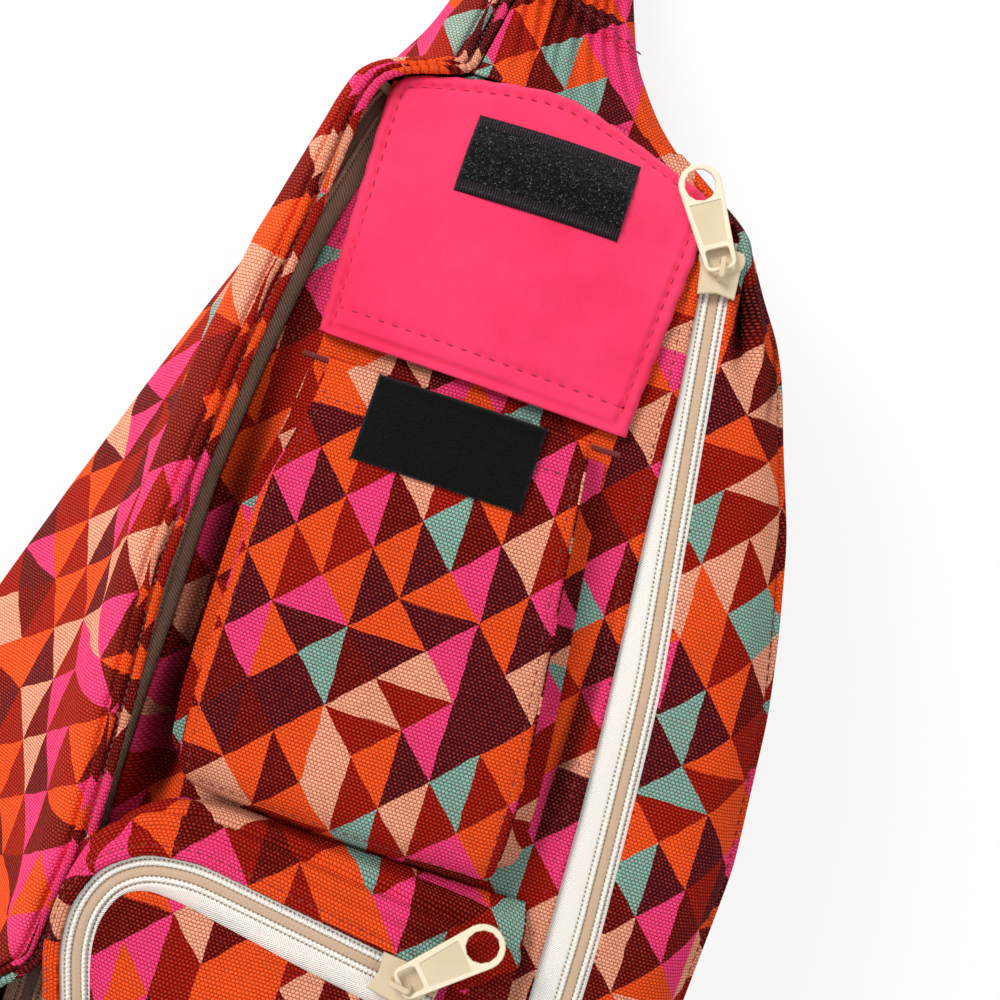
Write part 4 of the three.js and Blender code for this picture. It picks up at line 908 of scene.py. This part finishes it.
def ridgeSection(side, reach):
    # from the channel over the folded ridge to the tape's edge and back underneath
    outline = [(1.5, -1.0), (1.5, 0.4), (1.6, 0.8), (1.85, 1.05), (2.3, 1.15), (2.8, 1.05), (3.05, 0.7), (3.2, 0.45),
               (3.4, 0.4), (3.6, 0.6), (3.9, 0.8), (4.4, 0.82), (5.2, 0.68), (reach - 1.1, 0.5), (reach - 0.4, 0.42),
               (reach, 0.1), (reach, -0.2), (reach - 0.5, -0.4), (4.35, -0.4), (4.1, -0.9), (3.2, -1.05)]
    return [(side * s, h) for s, h in outline][::side]


# each zip's tapes: the side of the line, the name and how far the tape reaches from the middle
zipTapes = {
    "right": [(1, "left", 12), (-1, "right", 6.8)],
    "left": [(-1, "left", 6.8), (1, "right", 9.2)],
    "lower": [(1, "outer", 5.2), (-1, "inner", 7.5)],
}


def makeZip(name, path, tapeCloth, coil, stitch):
    pitch = zipSize["pitch"]
    for side, label, reach in zipTapes[name]:
        piece = "%s zip %s " % (name, label)
        addSweep(piece + "tape", path, ridgeSection(side, reach), tapeCloth, ["%s_zip_%s_tape" % (name, label)])
        for row, (away, rise) in enumerate(((1.55, 0.72), (3.25, 0.6))):
            line = shifted(path, side * away, rise)
            addStitches(piece + "stitches %d" % row, line, stitch, pitch, 0.8, 0.26, 0.05, fine=False)
        addStitches(piece + "beads", shifted(path, side * 2.35, 0.95), tapeCloth, pitch, 1.25, 0.55, 0.0, fine=False)
    core = [(-1.5, -0.9), (1.5, -0.9), (1.5, 0.4), (1.1, 0.56), (-1.1, 0.56), (-1.5, 0.4)]
    addSweep(name + " zip channel", path, core, coil)
    addStitches(name + " zip teeth", shifted(path, 0, 0.3), coil, pitch, 1.3, 0.85, -0.35, fine=False)


def lowPath():
    return [(x, y, high + 9 - max(0, -y - 150) * 0.12) for x, y in lowZip]


# the lower zip's inner tape beyond its ridge, at these distances from the slider
lowTapeShow = ([0, 60, 95, 115, 140, 220], [8.5, 7.5, 5.5, 2.6, 2.2, 2.2])


def makeZips():
    right, left = (roundLine([(x, y, high - d) for y, x, d in line]) for line in (rightZip, leftZip[::-1]))
    low = roundLine(lowPath(), step=1.0)
    makeZip("right", right, creamTape, beigeCoil, zipThread)
    makeZip("left", left, taupeTape, taupeCoil, taupeCoil)
    makeZip("lower", low, creamTape, beigeCoil, zipThread)
    s = arcLength(low)[:, None]
    t = np.linspace(0, 1, 24)
    sideWay, upWay = frameAlong(low)
    away = 4.6 + np.interp(s, *lowTapeShow) * t
    rise = 0.62 - 0.5 * t + 0.25 * np.sin(2 * np.pi * s / 37) * t
    grid = low[:, None] - sideWay[:, None] * away[..., None] + upWay[:, None] * rise[..., None]
    addCloth("lower zip tape edge", grid, 0.7, creamTape, uv=(away, s))


pocketLeftX = lineOf([(-118, -44.5), (-92, -47.7), (-33, -48), (-7, -42.5), (9, -41.5)])
pocketRightX = lineOf([(-118, 50.7), (-89, 50.8), (-55, 46.9), (-32, 43.8), (9, 39)])
pocketDepth = lineOf([(-118, 10), (-112, 16), (-21, 16), (9, 10.1)], soft=6)
pocketLook = {"top": 13.0, "low": -118.0, "puff": 1.0, "pleat": 5.0, "foot": 6.0, "round": 7.0, "bartackY": 12.6}


def pocketTop(x, y):
    return frontZ(x, y) + pocketDepth(y)


def gussetRow(px, py, outX, outY, lower=0.0):
    # one line down the pocket's wall: its foot, its pleat and its top; outX and outY point away from the pocket
    foot = pocketLook["foot"]
    pleat = -min(pocketLook["pleat"], float(pocketDepth(py)) * 0.3)
    low = float(frontZ(px + outX * foot, py + outY * foot)) + gap + lining / 2 + 0.5
    top = float(pocketTop(px, py)) - cloth - gap - lower
    steps = [(foot, low), (3.5, low + 0.5), (1.2, low + 1.8), (pleat, mix(low, top, 0.55)),
             (-0.6, mix(low, top, 0.86)), (0.5, top)]
    return [(px + outX * away, py + outY * away, z) for away, z in steps]


def makePocket():
    u, v = gridOf(100, 126)
    y = mix(pocketLook["low"], pocketLook["top"], v)
    x = mix(pocketLeftX(y), pocketRightX(y), u)
    dl, dr, db, dt = x - pocketLeftX(y), pocketRightX(y) - x, y - pocketLook["low"], pocketLook["top"] - y
    for d, sign in ((dl, -1), (dr, 1)):
        x, y = roundCorner(x, y, d, db, pocketLook["round"], sign, -1)
    edge = np.minimum(np.minimum(dl, dr), db)
    z = pocketTop(x, y) + pocketLook["puff"] * ease(edge / 14) * ease(dt / 30) - 1.6 * (1 - ease(edge / 4)) ** 2
    z = z + ridges(edge, (-0.45, 3.0, 0.7), (0.3, 1.4, 1.0)) + ridges(dt, (-0.35, 12, 0.8), (0.25, 1.0, 1.0))
    z = z + 0.5 * folds(x, y * 0.8, 28, 91) * ease(edge / 8) * ease((y + 118) / 10) * (1 - ease((y + 18) / 10))
    grid = sheetOf(x, y, z)
    addCloth("pocket front cloth", grid, cloth, canvas, ["phone_pocket_front"])
    for label, line in (("left", grid[5:118, 3]), ("right", grid[5:118, -4]), ("low", grid[3, 6:-6]),
                        ("mouth", grid[-12, 3:-3])):
        addStitches("pocket stitches " + label, line, seamThread)
    rows = [gussetRow(float(pocketLeftX(q)), q, -1, 0) for q in np.linspace(8.5, -111, 12)]
    rows += [gussetRow(q, -116.0, 0, -0.05, 1.4) for q in np.linspace(-38.5, 44.7, 6)]
    rows += [gussetRow(float(pocketRightX(q)), q, 1, 0) for q in np.linspace(-111, 8.5, 12)]
    grid = refine(rows, 240, 26, soft=6)
    uv = (spread(grid) - 70, arcLength(grid[:, 0])[:, None])
    addCloth("pocket gusset cloth", grid, lining, canvas, ["phone_pocket_gusset"], uv)
    core = [(-0.75, -0.25), (0.75, -0.25), (0.75, 0.2), (-0.75, 0.2)]
    yarn = [(0.26 * math.cos(q), 0.26 * math.sin(q)) for q in np.arange(0, 2 * math.pi, math.pi / 3)]
    for label, centre in (("left", float(pocketLeftX(9.0)) - 5), ("right", float(pocketRightX(9.0)) + 5)):
        x = np.linspace(centre - 4.4, centre + 4.4, 20)
        y = pocketLook["bartackY"]
        bar = sheetOf(x, y, frontSurface(x, y) + 0.35)
        addSweep("bartack %s core" % label, bar, core, seamThread, ["bartack_" + label])
        x = centre - 4.2 + 0.42 * np.arange(21)
        y = pocketLook["bartackY"] - 0.75 * (-1.0) ** np.arange(21)
        zigzag = sheetOf(x, y, frontSurface(x, y) + 0.62)
        addSweep("bartack %s thread" % label, evenly(zigzag, 0.35), yarn, seamThread)


flapLook = {
    "baseY": 19.4, "baseHalf": 48.2, "topHalf": 52.4, "cornerY": 98, "arch": 13.5, "roof": 1.6,
    "skew": (0.024, 0.07), "lift": 0.9, "shell": 1.2, "lining": 1.0, "stitchIn": 3.8, "pitch": 4.4,
    "round": (6.0, 3.6),  # radius of the left and the right corner
    "soft": 2.0, "softSize": 30, "baseSeam": 8.0,
}
patchSize = {"wide": 51, "high": 25.4, "x": 2.2, "y": 85, "hooks": 2600, "hookWidth": 0.11}
flapUnder = flapLook["lift"] + flapLook["shell"] + gap + 0.1 + flapLook["lining"]


def flapXY(u, v, inset):
    f = flapLook
    top = f["cornerY"] + f["arch"] * (1 - np.abs(2 * u - 1) ** f["roof"]) - inset
    y = mix(f["baseY"] + inset, top, v)
    half = mix(f["baseHalf"], f["topHalf"], (np.minimum(y, f["cornerY"]) - f["baseY"]) / (f["cornerY"] - f["baseY"]))
    return (2 * u - 1) * (half - inset), y, half, top


def makeFlap():
    f = flapLook
    u, v = gridOf(132, 112)
    x, y, half, top = flapXY(u, v, 0)
    dl, dr, db, dt = half + x, half - x, y - f["baseY"], top - y
    for d, sign, radius in zip((dl, dr), (-1, 1), f["round"]):
        x, y = roundCorner(x, y, d, dt, radius, sign, 1)
    y = y - mix(*f["skew"], v) * x
    fromSide = np.minimum(dl, dr)
    edge = np.minimum(fromSide, np.minimum(dt, db + 2))
    atSide = fromSide < dt
    along = np.where(atSide, y, x)
    ripple = 0.16 * np.sin(2 * np.pi * along / 9 + 2 * softNoise(along / 20, 0 * along, 5)) * (1 - ease(edge / 6))
    x = x + np.where(dl < dr, -1, 1) * np.where(atSide, ripple, 0)
    y = y + np.where(atSide, 0, ripple)
    soft = f["soft"] * (folds(x * 0.9 + y * 0.5, y - x * 0.4, f["softSize"], 121) + 0.2) * ease(edge / 10)
    soft = soft + 0.5 * folds(x * 1.2 - y * 0.6, y * 1.1, 17, 7) * ease(edge / 7)
    underPatch = np.exp(-(((x - patchSize["x"]) / 30) ** 4 + ((y - patchSize["y"]) / 17) ** 4))
    z = frontZ(x, y) + flapUnder + soft * (1 - underPatch) + 0.15
    stitchIn, baseSeam = f["stitchIn"], f["baseSeam"]
    pucker = 0.5 + 0.5 * np.cos(2 * np.pi * along / f["pitch"])
    z = z + ridges(edge, (0.5, 1.7, 1.3), (-0.5 - 0.4 * pucker, stitchIn, 0.8), (-0.34 * pucker, stitchIn, 2.4),
                   (0.35, stitchIn + 1.9, 1.3)) - 0.9 * (1 - ease(edge / 1.4))
    pucker = 0.5 + 0.5 * np.cos(2 * np.pi * x / f["pitch"])
    z = z + ridges(db, (-0.6, baseSeam, 0.8), (-0.2 * pucker, baseSeam, 2.4))
    grid = sheetOf(x, y, z)
    piece = addCloth("flap lining cloth", grid, f["lining"], pinkTwill, ["flap_lining"])
    # stitches run round the two sides and the arched end, and across above the base
    upright = np.swapaxes(grid, 0, 1)
    for label, line in (
            ("left", lineAt(stitchIn, dl[5:107, :60], grid[5:107, :60])),
            ("end", lineAt(stitchIn, dt.T[5:127, :81:-1], upright[5:127, :81:-1])),
            ("right", lineAt(stitchIn, dr[106:4:-1, :71:-1], grid[106:4:-1, :71:-1])),
            ("base", lineAt(baseSeam, db.T[4:128, :40], upright[4:128, :40]))):
        addStitches("flap stitches " + label, line, flapThread, f["pitch"], 2.6, 0.24, 0.02)
    u, v = u[::2, ::2], v[::2, ::2]
    x, y, _, _ = flapXY(u, v, 0.6)
    y = y - mix(*f["skew"], v) * x
    grid = sheetOf(x, y, frontZ(x, y) + f["lift"] + f["shell"])
    piece = addCloth("flap outer cloth", grid, f["shell"] - 0.2, canvas, ["flap_shell"], (-x, y))


def patchGrid(x, y, under, thick, rough, seed):
    u, v = gridOf(110, 60)
    wide, long = patchSize["wide"], patchSize["high"]
    x, y = x + (u - 0.5) * wide, y + (v - 0.5) * long
    fromLong = np.minimum(v, 1 - v) * long
    edge = np.minimum(np.minimum(u, 1 - u) * wide, fromLong)
    z = under(x, y) + thick * (0.55 + 0.45 * ease(edge / 0.9)) + rough * softNoise(x * 1.6, y * 1.6, seed)
    return sheetOf(x, y, z), edge, fromLong


def makePatches():
    midX, midY = patchSize["x"], patchSize["y"]

    def under(x, y):
        return frontZ(x, y) + (flapUnder + 3 * gap)

    grid, edge, fromLong = patchGrid(midX, midY, under, 1.7, 0.0, 3)
    band = 1 - ease((fromLong - 3.0) / 0.6)
    grid[..., 2] -= 0.75 * band + 0.5 * (1 - ease(np.minimum(edge, 9) / 0.8))
    grid[..., 2] += (1 - band) * 0.3 * softNoise(grid[..., 0] * 1.3, grid[..., 1] * 1.3, 9)
    addCloth("hook patch pile", grid, 1.0, hookPile, ["hook_patch"])
    for label, rows in (("low", slice(0, 9)), ("high", slice(51, 60))):
        addCloth("hook patch selvedge " + label, grid[rows] + np.array([0, 0, 0.14]), 0.3, selvedge)
    for label, y in (("low", midY - 11.2), ("high", midY + 11.2)):
        x = np.linspace(midX - 24, midX + 24, 80)
        line = sheetOf(x, y, under(x, y) + 1.05)
        addStitches("hook patch stitches " + label, line, patchThread, 2.8, 2.1, 0.24, 0.05)
    rng = np.random.default_rng(4)
    verts, faces = [], []
    for base in range(0, 4 * patchSize["hooks"], 4):
        x, y = rng.uniform(-24.5, 24.5) + midX, rng.uniform(-9.2, 9.2) + midY
        foot = np.array([x, y, float(under(x, y)) + 1.55])
        turn, lean = rng.uniform(0, 2 * math.pi), rng.uniform(0.1, 0.5)
        ahead = np.array([math.cos(turn), math.sin(turn), 0])
        side = np.array([-math.sin(turn), math.cos(turn), 0]) * patchSize["hookWidth"]
        tip = foot + ahead * lean + np.array([0, 0, rng.uniform(0.35, 0.75)])
        verts += [foot + side, foot - side, foot - ahead * patchSize["hookWidth"] * 1.6, tip]
        faces += [(base + a, base + b, base + c) for a, b, c in ((0, 1, 3), (1, 2, 3), (2, 0, 3), (0, 2, 1))]
    addObject("hook patch hooks", verts, faces, None, hookTips)
    grid, _, _ = patchGrid(0, 0, lambda x, y: pocketTop(x, y) + pocketLook["puff"] * 0.9 + gap, 1.9, 0.12, 8)
    addCloth("loop patch pile", grid, 1.9, loopPile, ["loop_patch"])


lowPocketLook = {
    "rolls": [(1.9, 0.8, 0.09), (-2.6, 0.62, 0.055), (1.2, 0.48, 0.09), (-1.8, 0.3, 0.06)],  # by share of the width
    "bandFeet": [(63, -120), (46, -120.5), (8, -121), (-30, -121), (-46, -124), (-54.5, -135), (-57, -152),
                 (-56.5, -170), (-49.5, -194), (-46.5, -221)],
    "frontEnds": [(64, -166), (64, -192), (64, -228), (46, -228), (26, -228), (8, -228), (-7, -228), (-18, -228),
                  (-28, -228), (-35, -228)],
    "tapeShow": [5.6, 5.4, 4.6, 2.8, 0.8, 0, 0, 0, 0, 0],
}


def makeLowPocket():
    path = np.array([(63, -155.0, high + 9 - 3)] + lowPath(), float)
    sideWay, upWay = frameAlong(path)
    onFront = cloth + 2 * gap
    rows = []
    for at, side, up, (x, y) in zip(path, sideWay, upWay, lowPocketLook["bandFeet"]):
        foot = np.array([x, y, float(frontZ(x, y)) + onFront])
        level = at + side * (zipEdge + 4) + up * (over - 0.2)
        rows.append([at + side * zipEdge + up * over, level, mix(level, foot, 0.3) + side * 3.5 + np.array([0, 0, 1]),
                     mix(level, foot, 0.7) + side * 2.1, foot])
    grid = refine(rows, 230, 50, soft=7)
    away, along = spread(grid), arcLength(grid[:, 0])[:, None]
    part = away / away[:, -1:]
    rope = 0.5 + 0.5 * np.sin(2 * np.pi * (along + away) / 3.2)
    lift = ridges(away, (0.6 + 0.3 * rope, 1.4, 1.1), (-0.7, 3.1, 0.7)) + ridges(part, *lowPocketLook["rolls"])
    lift = lift * (0.7 + 0.3 * softNoise(along / 18, away / 9, 61))
    lift = lift + 0.7 * folds(along, away * 2, 26, 63) * ease(away / 6)
    grid = raised(grid, lift, (0, 0.5, 1))
    uv = (60 - along, -140 + away)
    addCloth("lower band cloth", grid, cloth, canvas, ["lower_pocket_band"], uv, (-0.3, 0.3, 1))
    addStitches("lower band stitches", lineAt(3.0, away, grid), seamThread)

    rows = []
    w = np.linspace(0, 1, 7)[:, None]
    for k, ((x, y), show) in enumerate(zip(lowPocketLook["frontEnds"], lowPocketLook["tapeShow"])):
        near = path[k] - sideWay[k] * (zipEdge + show) + upWay[k] * over
        end = np.array([x, y, float(frontZ(x, y)) + onFront])
        row = mix(near, end, w)
        swell = (0.3 if k < 2 else 0.9) * 7
        row[:, 2:] = mix(near[2], end[2], w**3) + swell * np.sin(math.pi * w) ** 2
        rows.append(row)
    grid = refine(rows, 150, 66, soft=7)
    away = spread(grid)
    lift = ridges(away, (0.5, 1.4, 1.1), (-0.4, 3.0, 0.7))
    lift = lift + 1.1 * folds(grid[..., 0], grid[..., 1], 32, 67) * ease(away / 8)
    grid = raised(grid, lift)
    addCloth("lower front cloth", grid, cloth, canvas, ["lower_pocket_front"])


def alongCurve(points, count):
    # centripetal curve through points, evenly spaced, as the strap is cut
    p = np.array(points, float)
    t = np.concatenate([[0], np.cumsum(np.sqrt(np.linalg.norm(np.diff(p, axis=0), axis=1)))])
    p = np.concatenate([[2 * p[0] - p[1]], p, [2 * p[-1] - p[-2]]])
    t = np.concatenate([[2 * t[0] - t[1]], t, [2 * t[-1] - t[-2]]])
    h = np.linspace(0, 1, 40, endpoint=False)[:, None]
    out = []
    for k in range(1, len(p) - 2):
        step = t[k + 1] - t[k]
        leave = (p[k + 1] - p[k - 1]) / (t[k + 1] - t[k - 1]) * step
        arrive = (p[k + 2] - p[k]) / (t[k + 2] - t[k]) * step
        out.append(p[k] * (2 * h**3 - 3 * h**2 + 1) + leave * (h**3 - 2 * h**2 + h)
                   + p[k + 1] * (3 * h**2 - 2 * h**3) + arrive * (h**3 - h**2))
    dense = evenly(np.concatenate(out + [p[-2:-1]]), fineStep)
    return evenly(dense, arcLength(dense)[-1] / count)


strapRoute = [(-21, 206.3, 0), (-21, 216, 0), (-26, 242, 0), (-50, 274, 0), (-92, 290, 0), (-136, 286, 0),
              (-176, 262, 0), (-206, 224, 0), (-225, 170, 0), (-233, 128, 0), (-231, 92, 0), (-222, 62, 0)]
strapLook = {"width": 38, "height": 10.6, "rim": 3.4, "quilt": 42}


def makeStrap():
    path = alongCurve(strapRoute, 170)
    s = arcLength(path)
    sideWay, _ = frameAlong(path)
    half, rim = strapLook["width"] / 2, strapLook["rim"]
    a, b = np.meshgrid(np.linspace(-1, 1, 32), s)
    ends = ease(b / 14) * ease((s[-1] - b) / 14)
    crown = (1 - np.abs(a) ** 3.2) ** 0.55
    quilt = 1 - 0.16 * bump(b % strapLook["quilt"], strapLook["quilt"] / 2, 1.6)
    shift = a * (half - 0.6 + 0.5 * softNoise(b / 26, np.sign(a), 133))
    top = path[:, None] + sideWay[:, None] * shift[..., None]
    z = rim + (strapLook["height"] - rim) * crown * quilt * (0.62 + 0.38 * ends)
    z = z + 0.5 * folds(a * 20, b, 22, 131) * crown
    top[..., 2] = z
    piece = addCloth("strap top cloth", top, 1.5, canvasStrap, ["strap_top_cover"], (a * half * 1.15, b))
    low = path[:, None] + sideWay[:, None] * (a * half)[..., None]
    low[..., 2] = 0.1 + 0.5 * np.abs(a) ** 4
    addCloth("strap back cloth", low, -1.4, canvasStrap, ["strap_back_cover"], (a * half, b))
    ring = [(1.15 * math.cos(q), 1.3 * math.sin(q)) for q in np.arange(0, 2 * math.pi, math.pi / 4)]
    for side in (-1, 1):
        line = path + sideWay * side * (half - 0.9)
        line[:, 2] = 2.6
        addSweep("strap binding %d" % side, line, ring, hemCanvas)
        line = path + sideWay * side * (half - 3.2)
        line[:, 2] = [np.interp(half - 3.2, np.abs(across), rise) for across, rise in zip(shift[:, 23:], z[:, 23:])]
        addStitches("strap stitches %d" % side, line, seamThread, 3.6, 2.4, 0.28, 0.05)


# the webbing's two ends, the lock's middle along it, the heights of the lock's bar, and half the webbing's section
webbingLook = {"from": (-222, 62.0, 0), "to": (-148, -200.0, 0), "lockAt": 25.5, "barLow": 4.4, "barHigh": 8.6,
               "halfWide": 12.5, "halfThick": 0.9, "floor": 1.0, "wing": 2.4}


def makeWebbing():
    end, wing = np.array(webbingLook["from"]), np.array(webbingLook["to"])
    way = unit(wing - end)
    across = np.cross(way, [0, 0, 1])

    def leg(points, at=0.0):
        return np.array([end + way * (at + t) + np.array([0, 0, z]) for t, z in points])

    wide, thick = webbingLook["halfWide"], webbingLook["halfThick"]
    quarter = [(wide - 0.4, -thick), (wide, -0.6), (wide, 0.6), (wide - 0.4, thick)]
    ribbon = [(-wide, -0.6), (0.4 - wide, -thick)] + quarter + [(0.4 - wide, thick), (-wide, 0.6)]
    under, overBar = webbingLook["barLow"] - gap - thick, webbingLook["barHigh"] + gap + thick
    tab = [(1.2, 5), (4, 4.4), (8, under), (12, under - 0.3), (15, under + 0.6), (16, (under + overBar) / 2),
           (15, overBar - 0.6), (12, overBar + 0.3), (8, overBar), (4, 8.8), (1.2, 8)]
    addSweep("strap tab webbing", leg(tab), ribbon, webbingCloth, ["strap_tab"], across)
    at = webbingLook["lockAt"]
    reach = float(np.linalg.norm(wing - end)) - at
    floor, top = webbingLook["floor"], webbingLook["wing"] + gap + thick
    tail = floor + 2 * thick + gap
    route = [(reach, top), (reach - 26, top), (reach - 52, top), (reach - 66, floor), (140, floor), (70, floor),
             (10, floor), (0, floor), (-3, floor + 0.5), (-4.9, floor + 2.4), (-5.2, 6.2), (-4.6, overBar - 0.8),
             (-2, overBar + 0.4), (2, overBar + 0.4), (4.6, overBar - 0.8), (5.2, 6.6), (5.8, 4.8), (7.6, tail + 0.3),
             (10, tail), (15.5, tail), (70, tail)]
    addSweep("webbing band", leg(route, at), ribbon, webbingCloth, ["webbing"], across)
    for away in (4, 22):
        line = leg([(reach - away, top + thick)], at) + across * np.linspace(-10.5, 10.5, 30)[:, None]
        addStitches("webbing end stitches %d" % away, line, seamThread, 2.6, 2.0, 0.3, 0.1)


wingLook = {"highY": -154.0, "lowY": -223.0, "height": 2.4}


def makeWing():
    outer = lineOf([(-154, -147), (-186, -170), (-212, -163), (-223, -116)], soft=5)
    u, v = gridOf(50, 80)
    y = mix(wingLook["highY"], wingLook["lowY"], v)
    x = mix(outer(y), leftOutline(y) - 0.6, u)
    edge = np.minimum(x - outer(y), np.minimum(wingLook["highY"] - y, y - wingLook["lowY"]) * 0.8)
    z = wingLook["height"] - 0.3 * bump(edge, 3.2, 0.7) - 0.6 * (1 - ease(edge / 1.5)) + 0.1 * folds(x, y, 14, 141)
    addCloth("wing cloth", sheetOf(x, y, z), 2.3, canvas, ["strap_wing"])


for make in (makeFront, makeLeftSide, makeRightStrip, makeRightSide, makeBottom, makeNeck, makeBack):
    make()
print("body cloth ready")
makeZips()
print("zips ready")
for make in (makePocket, makeFlap, makePatches, makeLowPocket):
    make()
print("pocket, flap and lower pocket ready")
for make in (makeStrap, makeWebbing, makeWing):
    make()
print("strap ready")

studio = {
    "world": 0.52,
    "floorGlow": 0.85,
    "floorSize": 4,
    # place, power and size of each lamp
    "key light": ((-0.75, 0.6, 1.15), 19.0, 0.7),
    "fill light": ((0.9, -0.5, 1.1), 4.0, 1.2),
    "aim": (0.05, 0.0, 0.05),
}


def seenDirectly(tree):
    rays = tree.nodes.new("ShaderNodeLightPath").outputs
    seen = [Wire(tree, rays[label + " Ray"]) for label in ("Is Camera", "Is Glossy", "Is Transmission")]
    return seen[0].math("MAXIMUM", seen[1].math("MAXIMUM", seen[2]))


def makeStudio():
    half, low = studio["floorSize"], -0.0005
    mesh = bpy.data.meshes.new("studio floor")
    corners = [(-half, -half, low), (half, -half, low), (half, half, low), (-half, half, low)]
    mesh.from_pydata(corners, [], [(0, 1, 2, 3)])
    floor = bpy.data.objects.new("studio_floor", mesh)
    scene.collection.objects.link(floor)
    made, tree, shader, _ = startMaterial("studio floor", "Object", 0.9, specular=0.1)
    grain = noise(addNode(tree, "TexCoord", {}, "Object"), 6.0)
    plug(shader.inputs["Base Color"], blendColour(tree, grain, colour("#f2f2f2"), colour("#f6f6f6")))
    glow = addNode(tree, "Emission", {"Color": (1, 1, 1, 1)})
    surface = addNode(tree, "MixShader", {0: seenDirectly(tree) * studio["floorGlow"],
                                          1: Wire(tree, shader.outputs[0]), 2: glow})
    plug(tree.nodes["Material Output"].inputs["Surface"], surface)
    mesh.materials.append(made)

    world = scene.world = bpy.data.worlds.new("studio")
    world.use_nodes = True
    tree = world.node_tree
    back = tree.nodes["Background"].inputs
    plug(back["Color"], (1, 1, 1, 1))
    plug(back["Strength"], seenDirectly(tree) * (1.0 - studio["world"]) + studio["world"])

    for label in ("key light", "fill light"):
        place, power, size = studio[label]
        lamp = bpy.data.lights.new(label, "AREA")
        lamp.shape, lamp.size, lamp.energy = "DISK", size, power
        holder = bpy.data.objects.new(label, lamp)
        holder.location = place
        aim = Vector(studio["aim"]) - Vector(place)
        holder.rotation_euler = aim.to_track_quat("-Z", "Y").to_euler()
        scene.collection.objects.link(holder)


# straight above the bag, with the picture's upright turned a little from the bag's length
cameraLook = {"lens": 54.18, "sensor": 36, "place": (0.084857, -0.039621, 0.542), "right": (0.9494, 0.3140, 0),
              "up": (-0.3140, 0.9494, 0)}


def makeCamera():
    lens = bpy.data.cameras.new("camera")
    lens.lens, lens.sensor_width, lens.clip_start = cameraLook["lens"], cameraLook["sensor"], 0.01
    holder = bpy.data.objects.new("camera", lens)
    right, up = Vector(cameraLook["right"]), Vector(cameraLook["up"])
    turn = Matrix((right, up, right.cross(up))).transposed().to_4x4()
    holder.matrix_world = Matrix.Translation(cameraLook["place"]) @ turn
    scene.collection.objects.link(holder)
    scene.camera = holder


makeStudio()
makeCamera()
scene.view_settings.view_transform = "Standard"
bpy.context.view_layer.update()
print("studio ready")
